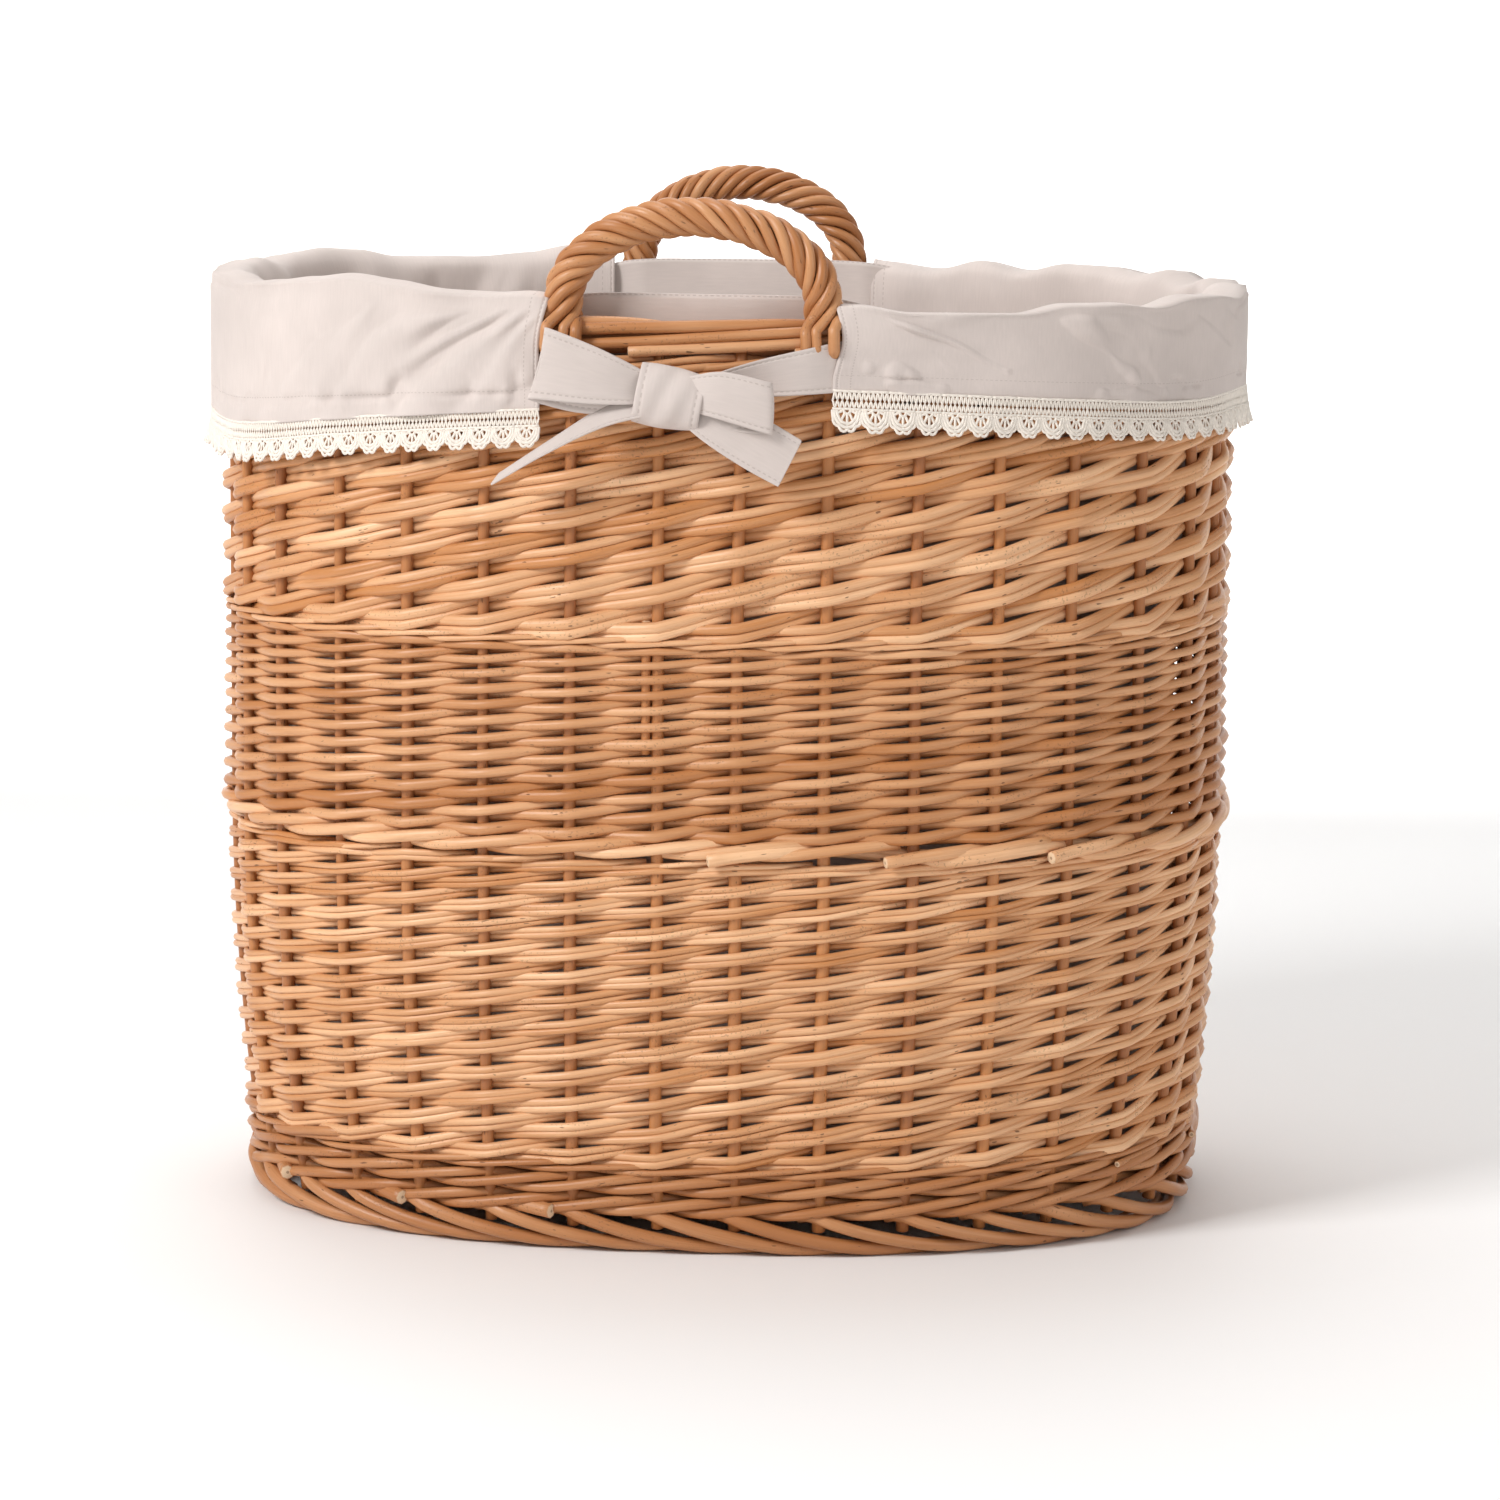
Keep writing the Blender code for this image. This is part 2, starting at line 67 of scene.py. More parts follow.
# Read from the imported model
RIM_LOW, RIM_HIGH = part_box("upper_weave")
RIM_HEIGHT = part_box("top_border")[1].z
BORDER_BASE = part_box("top_border")[0].z
FOOT_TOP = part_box("foot_border")[1].z
LOWER_BASE, LOWER_TOP = (corner.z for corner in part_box("lower_weave"))
MIDDLE_BASE, MIDDLE_TOP = (corner.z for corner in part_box("middle_weave"))
UPPER_BASE = RIM_LOW.z
STAKE_COUNT = sum(name.startswith("stake_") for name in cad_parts)
BAG_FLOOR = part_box("liner_bag")[0].z
CUFF_HALF_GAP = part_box("liner_cuff_right")[0].x
BASE_LOW, BASE_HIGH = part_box("base_weave")


# Sizes and colours


def length(name, tip, default):
    """A size in metres for the panel."""
    return FloatProperty(name=name, description=tip, default=default, unit="LENGTH")


def tint(name, tip, default):
    """A colour for the panel."""
    return FloatVectorProperty(name=name, description=tip, default=default, subtype="COLOR")


class BasketSizes(PropertyGroup):
    """Sizes of the rods and the cloth."""

    wall: length("Wall", "Thickness of the woven wall", 0.0145)
    oval_power: FloatProperty(name="Oval power", description="2 is an ellipse, more is squarer", default=2.4)
    foot_inset: length("Foot inset", "Draw-in at the foot", 0.0160)
    taper_height: length("Taper", "The wall is upright above", 0.21)
    stake: length("Stake", "Diameter of an upright", 0.0062)
    butt: length("Butt", "Diameter of a middle weaver's thick end", 0.0044)
    tip: length("Tip", "Diameter of a middle weaver's thin end", 0.0031)
    rope: length("Rope", "Diameter of a handle's rope", 0.0192)
    strands: IntProperty(name="Strands", description="Rods wound round a handle's core", default=6)
    ribbon: length("Ribbon", "Width of the ties", 0.025)
    scallop: length("Scallop", "Length of one scallop of lace", 0.0118)
    lace_drop: length("Lace", "Depth of the lace", 0.0195)


class BasketColours(PropertyGroup):
    """Colours of the willow and the cloth."""

    # The pale willow is the rods' own paler tone, pushed whiter so that it also serves as painted highlight.
    pale: tint("Pale willow", "Pale rods", (0.865, 0.53, 0.30))
    honey: tint("Honey willow", "Most rods", (0.54, 0.228, 0.077))
    russet: tint("Russet willow", "Uprights", (0.36, 0.135, 0.045))
    speck: tint("Specks", "Buds and scars", (0.12, 0.05, 0.02))
    cotton: tint("Cotton", "The liner", (0.665, 0.582, 0.542))
    # The stitch colour is painted shade: its dark dashes stand in for the shadow along the rows of stitches.
    seam: tint("Seam", "Its stitches", (0.33, 0.26, 0.23))
    lace: tint("Lace", "The lace thread", (0.94, 0.86, 0.77))
    floor: tint("Floor", "The floor", (0.9, 0.9, 0.9))


def sizes():
    return bpy.context.scene.basket_sizes


def colours():
    return bpy.context.scene.basket_colours


# The oval wall


def unit(vectors):
    return vectors / np.maximum(np.linalg.norm(vectors, axis=-1, keepdims=True), 1e-12)


class Oval:
    """The rim seen from above: |x/a|^power + |y/b|^power = 1, measured by arc length in stakes."""

    def __init__(self):
        a, b, power = RIM_HIGH.x, RIM_HIGH.y, sizes().oval_power
        angle = np.linspace(-math.pi / 2, 1.5 * math.pi, 20001)
        c, s = np.cos(angle), np.sin(angle)
        x = a * np.sign(c) * np.abs(c) ** (2 / power)
        y = b * np.sign(s) * np.abs(s) ** (2 / power)
        steps = np.hypot(np.diff(x), np.diff(y))
        length = np.concatenate([[0], np.cumsum(steps)])
        self.length = length[-1]
        self.spacing = self.length / STAKE_COUNT
        self.s = length / self.spacing
        self.x, self.y = x, y
        across = np.sign(x) * np.abs(x / a) ** (power - 1) / a
        deep = np.sign(y) * np.abs(y / b) ** (power - 1) / b
        self.normal = unit(np.stack([across, deep], axis=-1))

    def at(self, s):
        """Points and outward directions, each with a zero height, at arc lengths s in stakes."""
        s = np.mod(s, STAKE_COUNT)
        x, y = np.interp(s, self.s, self.x), np.interp(s, self.s, self.y)
        nx, ny = np.interp(s, self.s, self.normal[:, 0]), np.interp(s, self.s, self.normal[:, 1])
        zero = np.zeros_like(x)
        return np.stack([x, y, zero], axis=-1), unit(np.stack([nx, ny, zero], axis=-1))

    def s_at_x(self, x):
        """The arc length, in stakes, from the front middle to a place along X on the front."""
        quarter = slice(0, len(self.x) // 4 + 1)
        return np.interp(x, self.x[quarter], self.s[quarter])

    def wall(self, s, z, out):
        """A place on the wall. It leans in towards the foot by foot_inset * (1 - z / taper_height)^2."""
        size = sizes()
        s, z, out = np.broadcast_arrays(s, z, out)
        lean = size.foot_inset * np.clip(1 - z / size.taper_height, 0, None) ** 2
        point, normal = self.at(s)
        made = point + normal * (out - size.wall / 2 - lean)[..., None]
        made[..., 2] = z
        return made, normal


def value_noise(x, y, seed):
    """Smooth noise from -1 to 1: random values on a unit lattice, blended by 3t^2 - 2t^3."""
    table = np.random.default_rng(seed).uniform(-1, 1, (64, 64))
    x, y = np.broadcast_arrays(x, y)
    ix, iy = np.floor(x).astype(int), np.floor(y).astype(int)
    fx, fy = x - ix, y - iy
    fx, fy = fx * fx * (3 - 2 * fx), fy * fy * (3 - 2 * fy)
    corner = lambda dx, dy: table[(ix + dx) % 64, (iy + dy) % 64]
    low = corner(0, 0) * (1 - fx) + corner(1, 0) * fx
    high = corner(0, 1) * (1 - fx) + corner(1, 1) * fx
    return low * (1 - fy) + high * fy


def smooth_step(low, high, x):
    t = np.clip((x - low) / (high - low), 0, 1)
    return t * t * (3 - 2 * t)


def through(keys, values, x):
    """Values at x on a smooth curve through a few points, flat at each one that is a peak."""
    keys, values = np.asarray(keys, float), np.asarray(values, float)
    slope = np.diff(values, axis=0) / np.diff(keys).reshape(-1, *[1] * (values.ndim - 1))
    inner = (slope[1:] + slope[:-1]) / 2
    rate = np.concatenate([slope[:1], inner, slope[-1:]])
    x = np.clip(x, keys[0], keys[-1])
    i = np.clip(np.searchsorted(keys, x) - 1, 0, len(keys) - 2)
    span = keys[i + 1] - keys[i]
    t = (x - keys[i]) / span
    if values.ndim > 1:
        t, span = t[..., None], span[..., None]
    low, high = values[i], values[i + 1]
    up = t * t * (3 - 2 * t)
    return low * (1 - up) + high * up + span * (t * (1 - t) ** 2 * rate[i] - t * t * (1 - t) * rate[i + 1])


# Meshes


def build(name, points, quads, triangles, material, attributes):
    """A smooth-shaded mesh from arrays of points and faces, with one value per point in each attribute."""
    mesh = bpy.data.meshes.new(name)
    faces = np.asarray(quads).reshape(-1, 4).tolist() + np.asarray(triangles, int).reshape(-1, 3).tolist()
    mesh.from_pydata(np.asarray(points, float).reshape(-1, 3).tolist(), [], faces)
    mesh.shade_smooth()
    for key, values in attributes.items():
        kind, field = ("FLOAT_VECTOR", "vector") if np.ndim(values) == 2 else ("FLOAT", "value")
        layer = mesh.attributes.new(key, kind, "POINT")
        layer.data.foreach_set(field, np.asarray(values, np.float32).ravel())
    made = bpy.data.objects.new(name, mesh)
    bpy.context.scene.collection.objects.link(made)
    mesh.materials.append(material)
    return made


def finish_piece(piece, body, slot, *nodes):
    """Ties a piece to its body and hides the nodes that it stands for; slot is not used."""
    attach(piece, body)
    if nodes:
        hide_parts(*nodes)
    return piece


CAP_LENGTH = 0.12  # a cut end's rounding, in radii
CAP_RADIUS = 0.8


def tube_arrays(paths, radii, ups, sides, offset=0):
    """Rods as tubes. Each ring is centre + radius * (cos t * up + sin t * side), and the ends are square.

    paths and ups are (rods, points, 3) and radii is (rods, points). Returns points, quads, triangles, the
    rods' own coordinates (length along, and across twice), a mask of the cut ends, and each point's rod.
    """
    rods, count, _ = paths.shape
    tangent = unit(np.gradient(paths, axis=1))
    first = paths[:, :1] - tangent[:, :1] * (CAP_LENGTH * radii[:, :1, None])
    last = paths[:, -1:] + tangent[:, -1:] * (CAP_LENGTH * radii[:, -1:, None])
    ends = lambda v: np.concatenate([v[:, :1], v, v[:, -1:]], axis=1)
    centre = np.concatenate([first, paths, last], axis=1)
    tangent, ups, radii = ends(tangent), ends(ups), ends(radii).copy()
    radii[:, 0] *= CAP_RADIUS
    radii[:, -1] *= CAP_RADIUS
    side = unit(np.cross(tangent, ups))
    up = np.cross(side, tangent)
    angle = np.arange(sides) * TAU / sides
    across = np.stack([np.cos(angle), np.sin(angle)], axis=-1)
    spokes = up[:, :, None] * across[:, :1] + side[:, :, None] * across[:, 1:]
    rings = centre[:, :, None] + radii[:, :, None, None] * spokes
    steps = np.linalg.norm(np.diff(centre, axis=1), axis=-1)
    along = np.concatenate([np.zeros((rods, 1)), np.cumsum(steps, 1)], 1)
    shift = (np.arange(rods) + offset)[:, None] * 1.37
    own = np.empty((rods, count + 2, sides, 3))
    own[..., 0] = (along + shift)[..., None]
    own[..., 1:] = radii[:, :, None, None] * across
    pole_own = np.zeros((rods, 2, 3))
    pole_own[..., 0] = (along + shift)[:, [0, -1]]
    points = np.concatenate([rings.reshape(-1, 3), centre[:, 0], centre[:, -1]])
    own = np.concatenate([own.reshape(-1, 3), pole_own[:, 0], pole_own[:, 1]])
    cut = np.zeros((rods, count + 2, sides))
    cut[:, [0, -1]] = 1
    cut = np.concatenate([cut.ravel(), np.ones(2 * rods)])
    i = np.arange(rods * (count + 2) * sides).reshape(rods, count + 2, sides)
    j = np.roll(i, -1, axis=2)
    quads = np.stack([i[:, :-1], j[:, :-1], j[:, 1:], i[:, 1:]], axis=-1).reshape(-1, 4)
    pole = i.size + np.arange(rods)[:, None] + np.zeros(sides, int)
    start = np.stack([pole, j[:, 0], i[:, 0]], axis=-1).reshape(-1, 3)
    end = np.stack([pole + rods, i[:, -1], j[:, -1]], axis=-1).reshape(-1, 3)
    number = np.arange(rods)
    which = np.concatenate([np.repeat(number, (count + 2) * sides), number, number])
    return points, quads, np.concatenate([start, end]), own, cut, which


def make_rods(name, batches, material, seed, sides=8, tone=(0.5, 0.25)):
    """One mesh of many rods, each with its own tone from 0 to 1. batches holds (paths, radii, ups)."""
    rng = np.random.default_rng(seed)
    parts, start, rod_start = [], 0, 0
    for paths, radii, ups in batches:
        points, quads, triangles, own, cut, which = tube_arrays(paths, radii, ups, sides, rod_start)
        tones = np.clip(rng.normal(*tone, len(paths)), 0, 1)
        parts.append((points, quads + start, triangles + start, own, cut, tones[which]))
        start += len(points)
        rod_start += len(paths)
    points, quads, triangles, own, cut, tones = (np.concatenate(x) for x in zip(*parts))
    return build(name, points, quads, triangles, material, {"rod_place": own, "cut": cut, "tone": tones})


def ragged(rods):
    """Each rod with its own number of points as a batch of one."""
    return [(path[None], np.full((1, len(path)), radius), up[None]) for path, radius, up in rods]


# Materials


class Wire:
    """One shader socket. Sums, products and comparisons of wires add Math nodes."""

    def __init__(self, tree, socket):
        self.tree, self.socket = tree, socket

    def node(self, kind, settings=None, output=0, **inputs):
        """Adds a node: its settings are set first, and then its inputs by name, or by number as i0, i1."""
        made = self.tree.nodes.new("ShaderNode" + kind)
        for key, value in (settings or {}).items():
            if key == "stops":
                for element, (place, level) in zip(made.color_ramp.elements, value):
                    element.position, element.color = place, (level, level, level, 1)
            else:
                setattr(made, key, value)
        for key, value in inputs.items():
            target = made.inputs[int(key[1:])] if key[1:].isdigit() else made.inputs[key.replace("_", " ")]
            if isinstance(value, Wire):
                self.tree.links.new(value.socket, target)
            elif target.type == "RGBA" and len(value) == 3:
                target.default_value = (*value, 1)
            else:
                target.default_value = value
        return Wire(self.tree, made.outputs[output])

    def math(self, operation, *values, clamp=False):
        inputs = {f"i{i}": value for i, value in enumerate(values)}
        return self.node("Math", {"operation": operation, "use_clamp": clamp}, **inputs)

    def __add__(self, other):
        return self.math("ADD", self, other)

    def __radd__(self, other):
        return self.math("ADD", other, self)

    def __sub__(self, other):
        return self.math("SUBTRACT", self, other)

    def __rsub__(self, other):
        return self.math("SUBTRACT", other, self)

    def __mul__(self, other):
        return self.math("MULTIPLY", self, other)

    def __rmul__(self, other):
        return self.math("MULTIPLY", other, self)

    def __truediv__(self, other):
        return self.math("DIVIDE", self, other)

    def __gt__(self, other):
        return self.math("GREATER_THAN", self, other)

    def __lt__(self, other):
        return self.math("LESS_THAN", self, other)

    def clamped(self):
        return self.math("ADD", self, 0.0, clamp=True)

    def between(self, low, high):
        """0 up to low, 1 from high, and smooth in between."""
        settings = {"interpolation_type": "SMOOTHSTEP"}
        return self.node("MapRange", settings, Value=self, From_Min=low, From_Max=high)

    def scaled(self, x, y, z):
        return self.node("VectorMath", {"operation": "MULTIPLY"}, i0=self, i1=(x, y, z))

    def noise(self, scale=1.0, detail=2.0, rough=0.5):
        return self.node("TexNoise", Vector=self, Scale=scale, Detail=detail, Roughness=rough)

    def mixed(self, first, second, kind="MIX"):
        """first where this is 0, and second where it is 1."""
        settings = {"data_type": "RGBA", "blend_type": kind, "clamp_factor": True}
        return self.node("Mix", settings, output=2, i0=self, i6=first, i7=second)

    def parts(self):
        node = self.node("SeparateXYZ", Vector=self).socket.node
        return [Wire(self.tree, socket) for socket in node.outputs]


def new_material(name, rough, sheen=0.0, specular=0.5, coat=0.0):
    """An empty material and its starting wire; paint() links the wires that vary."""
    made = bpy.data.materials.new(name)
    made.use_nodes = True
    shader = made.node_tree.nodes["Principled BSDF"]
    shader.inputs["Roughness"].default_value = rough
    shader.inputs["Specular IOR Level"].default_value = specular
    shader.inputs["Sheen Weight"].default_value = sheen
    shader.inputs["Sheen Roughness"].default_value = 0.5
    shader.inputs["Coat Weight"].default_value = coat
    shader.inputs["Coat Roughness"].default_value = 0.3
    return made, Wire(made.node_tree, None)


def paint(made, wire, colour, rough=None, height=None, distance=0.0002, strength=1.0):
    shader = made.node_tree.nodes["Principled BSDF"]
    links = made.node_tree.links
    links.new(colour.socket, shader.inputs["Base Color"])
    if rough:
        links.new(rough.socket, shader.inputs["Roughness"])
    if height:
        bump = wire.node("Bump", Strength=strength, Distance=distance, Height=height)
        links.new(bump.socket, shader.inputs["Normal"])
    return made


def willow(name, low, high, gloss=0.38, cut_colour=(0.80, 0.62, 0.42)):
    """Peeled willow: lengthwise streaks and large blotches, whose paler parts are partly painted highlight,
    dark specks, and paler cut ends with a pith.
    """
    made, wire = new_material(name, gloss, specular=0.45)
    place = wire.node("Attribute", {"attribute_name": "rod_place"}, output=1)
    tone = wire.node("Attribute", {"attribute_name": "tone"}, output=2)
    cut = wire.node("Attribute", {"attribute_name": "cut"}, output=2)
    streak = place.scaled(28, 1500, 1500).noise(detail=4, rough=0.6)
    blotch_and_highlight = place.scaled(9, 60, 60).noise(detail=2)
    grey = place.scaled(45, 500, 500).noise(detail=3)
    # Painted highlight: the pale end of this mix, raised by the blotches and streaks, partly stands in for
    # the shine on the rods; the rest is their own tone.
    mix = (tone * 0.85 + (blotch_and_highlight - 0.5) * 1.7 + (streak - 0.5) * 0.7 + 0.02).clamped()
    wood = mix.mixed(low, high)
    wood = ((grey - 0.5) * 0.9).clamped().mixed(wood, colours().russet)
    spots = place.scaled(170, 620, 620).noise(detail=1).between(0.73, 0.78)
    marks = place.scaled(900, 900, 900).noise(detail=0).between(0.66, 0.74)
    freckled = place.scaled(14, 90, 90).noise(detail=1).between(0.52, 0.62)
    specks = (spots + marks * freckled * 0.45).clamped()
    wood = (specks * 0.75).mixed(wood, colours().speck)
    _, across, other = place.parts()
    pith = ((across * across + other * other) * 1.0e6).between(0.9, 0.35) * 0.6
    rings = place.scaled(60, 2600, 2600).noise(detail=2)
    end = pith.mixed((rings * 0.45).mixed(cut_colour, low), colours().speck)
    colour = cut.mixed(wood, end)
    rough = (streak * 0.2 + specks * 0.3 + cut * 0.3 + (gloss - 0.1)).clamped()
    return paint(made, wire, colour, rough, streak - specks * 0.8 + blotch_and_highlight * 1.5, 0.00022, 0.65)


PLACKET = 0.009  # from a cuff's end to its second row of stitches
CASING = 0.1425  # from a cuff's inner edge to the row of stitches above its lace
EDGE_ROW = 0.0024  # from an edge to its row of stitches
STITCH = 0.0029  # from one stitch to the next
THREAD = 0.00062  # from one thread of the weave to the next
CUFF_LEAST, CUFF_MOST = 0.3, 5.0  # only a cuff's width lies between these


def cotton(name):
    """Smooth plain-woven cotton, with stitches along its edges that are painted darker as their shade.

    The piece's cloth attribute holds metres along, metres across and the width.
    """
    made, wire = new_material(name, 0.88, sheen=0.12, specular=0.25)
    place = wire.node("Attribute", {"attribute_name": "cloth"}, output=1)
    along, across, width = place.parts()
    warp = wire.math("SINE", along * (TAU / THREAD))
    weft = wire.math("SINE", across * (TAU / THREAD))
    threads = warp * weft
    slub = place.scaled(90, 900, 0).noise(detail=3)
    soft = place.scaled(16, 16, 0).noise(detail=3)
    base = colours().cotton
    dark = [channel * 0.86 for channel in base]
    light = [min(1, channel * 1.07) for channel in base]
    shade = (soft * 0.7 + slub * 0.25 + threads * 0.05).clamped()
    colour = shade.between(0.2, 0.8).mixed(dark, light)
    height = threads * 0.25 + slub * 0.6 + soft
    edge = wire.math("MINIMUM", across, width - across)
    away = wire.math("ABSOLUTE", edge - EDGE_ROW)

    def row(distance):
        return 1 - distance.between(0.0002, 0.00042)

    def dashes(metres):
        dash = wire.math("FRACT", metres / STITCH)
        return dash.between(0.12, 0.2) * (1 - dash.between(0.66, 0.74))

    second = row(wire.math("ABSOLUTE", edge - PLACKET))
    casing = row(wire.math("ABSOLUTE", along - CASING))
    cuff = (width > CUFF_LEAST) * (width < CUFF_MOST)
    dashed = dashes(along)
    stitch = (row(away) * dashed + cuff * (second * dashed + casing * dashes(across))).clamped()
    # Painted shade: the rows of stitches are darkened towards the stitch shadow colour.
    colour = (stitch * 0.38).mixed(colour, colours().seam)
    pucker = 1 - away.between(0.0, 0.0012)
    height = height - pucker * 2.5
    return paint(made, wire, colour, None, height, 0.00018, 0.55)


def lace_thread(name):
    """Mercerised cotton thread: a fine twist along each strand."""
    made, wire = new_material(name, 0.75, sheen=0.2, specular=0.3)
    place = wire.node("Attribute", {"attribute_name": "rod_place"}, output=1)
    along, across, other = place.parts()
    twist = wire.math("SINE", along * 1500 + across * 4200 + other * 3100)
    fuzz = place.scaled(700, 2500, 2500).noise(detail=2)
    base = colours().lace
    colour = (fuzz * 0.6 + twist * 0.2 + 0.2).clamped().mixed([channel * 0.82 for channel in base], base)
    return paint(made, wire, colour, None, twist + fuzz, 0.00012, 0.6)


# The wickerwork


def stake_jitter(seed=3):
    """How far each stake stands from its even place, in stakes."""
    return np.random.default_rng(seed).uniform(-0.045, 0.045, STAKE_COUNT)


def true_s(s):
    """Carries evenly spaced stakes to where they really stand."""
    places = np.arange(STAKE_COUNT) + 0.5
    return s + np.interp(s, places, stake_jitter(), period=STAKE_COUNT)


def heave(s, z):
    """Slow unevenness in the height of the weaving."""
    around = s * TAU / STAKE_COUNT
    return 0.9 * MM * (value_noise(3 * np.cos(around) + 9, 3 * np.sin(around) + z * 22 + 9, 11))


def make_stakes(oval, material):
    """Each stake is a rod up the middle of the wall, a little bent, from the foot to under the border."""
    rng = np.random.default_rng(5)
    z = np.linspace(FOOT_TOP - 4 * MM, BORDER_BASE + 16 * MM, 40)
    s = np.arange(STAKE_COUNT)[:, None] + 0.5 + stake_jitter()[:, None]
    s = s + 0.012 * value_noise(z[None] * 12, np.arange(STAKE_COUNT)[:, None] * 1.7, 7)
    paths, ups = oval.wall(s, z[None], 0.0)
    taper = np.linspace(1.06, 0.92, len(z))[None] * rng.uniform(0.93, 1.07, (STAKE_COUNT, 1))
    radii = sizes().stake / 2 * taper
    batches = [(paths, radii, ups)]
    # A second rod beside one stake, where it was spliced
    z = np.linspace(MIDDLE_TOP - 50 * MM, MIDDLE_TOP + 15 * MM, 12)
    beside = STAKE_COUNT - 1 + 0.5 + stake_jitter()[-1] - 0.13
    path, up = oval.wall(np.full_like(z, beside), z, 0.5 * MM)
    batches.append((path[None], np.full((1, len(z)), 2.3 * MM), up[None]))
    made = make_rods("stakes", batches, material, 21, sides=12, tone=(0.5, 0.28))
    nodes = [f"stake_{i:02d}" for i in range(1, STAKE_COUNT + 1)]
    return finish_piece(made, "basket", "stake_willow", *nodes)


POINTS_PER_STAKE = 8


def tight_wave(p):
    """A wave from 1 to -1 at each whole step that is nearly straight in between: asin(0.99 cos(pi p))."""
    return np.arcsin(0.99 * np.cos(math.pi * p)) / math.asin(0.99)


def randing(oval, base, top, steps, group, layer, taper, seed):
    """One round of French randing: a weaver, or one layer of a pair, starts in every space.

    With p counting the stakes that a weaver has passed, it stands out from the wall by tight_wave(p) times
    the two radii that meet there. Its height is the sum of the diameters of all the rods that it has passed,
    less 0.06 cos(pi p) of one step, because it lies lower where it crosses in front of a stake.
    """
    rng = np.random.default_rng(seed)
    lead = 7 / POINTS_PER_STAKE
    p = np.linspace(-lead, steps + lead, int((steps + 2 * lead) * POINTS_PER_STAKE) + 1)
    share = np.clip(p / steps, 0, 1)
    profile = 1 + (taper - 1) * share
    gains = (profile[1:] + profile[:-1]) / 2 * np.diff(np.clip(p, 0, steps))
    climb = np.concatenate([[0], np.cumsum(gains)])
    climb = climb / climb[-1] * (top - base) + np.minimum(p, 0) * 0.5 * (top - base) / steps
    pitch = (top - base) / (steps * (1 + taper) / 2) * profile
    diameter = pitch / group
    weaver = np.arange(STAKE_COUNT)[:, None]
    s = weaver + 0.5 + p[None]
    knots = np.arange(-1, steps + 2, 0.5)
    wander = rng.uniform(-1, 1, (STAKE_COUNT, len(knots)))
    lift = np.stack([np.interp(p, knots, row) for row in wander]) * 0.09 * diameter
    rows = rng.normal(0, 1, (STAKE_COUNT, len(knots[::3])))
    swell = np.stack([np.interp(p, knots[::3], row) for row in rows])
    radii = diameter / 2 * 1.19 * (1 + 0.05 * swell) * rng.uniform(0.93, 1.07, (STAKE_COUNT, 1))
    swing = -0.06 * np.cos(math.pi * p) * pitch
    height = base + climb[None] + lift + (layer + 0.5) * diameter + swing
    height = height + heave(s, height)
    lean = rng.normal(0, 0.25 * MM, (STAKE_COUNT, 1))
    reach = (sizes().stake / 2 + radii) * 0.72
    out = tight_wave(p)[None] * reach + lean
    paths, ups = oval.wall(true_s(s), height, out)
    return paths, radii, ups


def waling(oval, height, rods, diameter, rounds, start, seed, pitch=None, slope=0.58, spread=2):
    """A twisted band: each of three rods passes in front of two stakes and behind the third, and rises.

    out is a softly limited 0.3 + 1.25 cos t, and the height swings with sin t, a third of a turn apart.
    """
    rng = np.random.default_rng(seed)
    batches = []
    steps = int(STAKE_COUNT * rounds)
    pitch = 1.8 * diameter if pitch is None else pitch
    for rod in range(rods):
        order = rod * spread
        p = np.linspace(0, steps + rng.uniform(0, 0.3), steps * POINTS_PER_STAKE)
        s = start + order + p
        turn = TAU * (p - 0.33) / rods
        wave = 0.3 + 1.25 * np.cos(turn) if rods > 2 else 1.1 * np.cos(turn)
        wave = wave / (1 + wave**4) ** 0.25
        thick = diameter * (1 - 0.12 * p / steps) * (1 + 0.05 * value_noise(p * 0.4, rod * 3.1, seed))
        reach = sizes().stake / 2 + thick / 2
        out = wave * reach + 0.2 * MM * value_noise(p * 0.9, rod + 5.5, seed + 1)
        out[:3] += np.array([3.2, 1.6, 0.4]) * MM if rods > 2 else 0
        swing = slope * diameter * np.sin(turn)
        z = height + pitch * (s - start) / STAKE_COUNT + swing + heave(s, height)
        z = z + 0.25 * MM * value_noise(p * 1.3, rod * 7.7, seed + 2)
        path, up = oval.wall(true_s(s), z, out)
        batches.append((path[None], (thick / 2)[None], up[None]))
    return batches


def cut_ends(oval, places, height, radius):
    """The thick ends of the rods a band starts with, cut off square just outside the wall."""
    p = np.linspace(0, 1, 9)
    batches = []
    for place in places:
        s = place - 0.75 * (1 - p)
        out = (-1.0 + 10.0 * p**1.3) * MM
        path, up = oval.wall(true_s(s), height - 2.0 * MM * p, out)
        batches.append((path[None], np.full((1, len(p)), radius), up[None]))
    return batches


def make_weaves(oval, material, pale):
    """The three woven bands: pairs, single rods, and thicker pairs."""
    size = sizes()
    pairs_base = LOWER_BASE - 2.5 * MM
    for layer, name in enumerate(("lower_weave_under", "lower_weave_over")):
        batch = randing(oval, pairs_base, LOWER_TOP - 1.5 * MM, 24, 2, layer, 0.74, 31 + layer)
        made = make_rods(name, [batch], pale, 41 + layer, tone=(0.52, 0.27))
        finish_piece(made, "basket", "weave_willow", *(["lower_weave"] if layer == 0 else []))
    batch = randing(oval, MIDDLE_BASE - 2.5 * MM, MIDDLE_TOP - 0.5 * MM, 22, 1, 0, size.tip / size.butt, 37)
    made = make_rods("middle_weave_rods", [batch], material, 47, tone=(0.42, 0.25))
    finish_piece(made, "basket", "weave_willow", "middle_weave")
    for layer, name in enumerate(("upper_weave_under", "upper_weave_over")):
        batch = randing(oval, UPPER_BASE - 2.5 * MM, BORDER_BASE - 1 * MM, 14, 2, layer, 0.92, 51 + layer)
        made = make_rods(name, [batch], pale, 57 + layer, tone=(0.48, 0.27))
        finish_piece(made, "basket", "weave_willow", *(["upper_weave"] if layer == 0 else []))


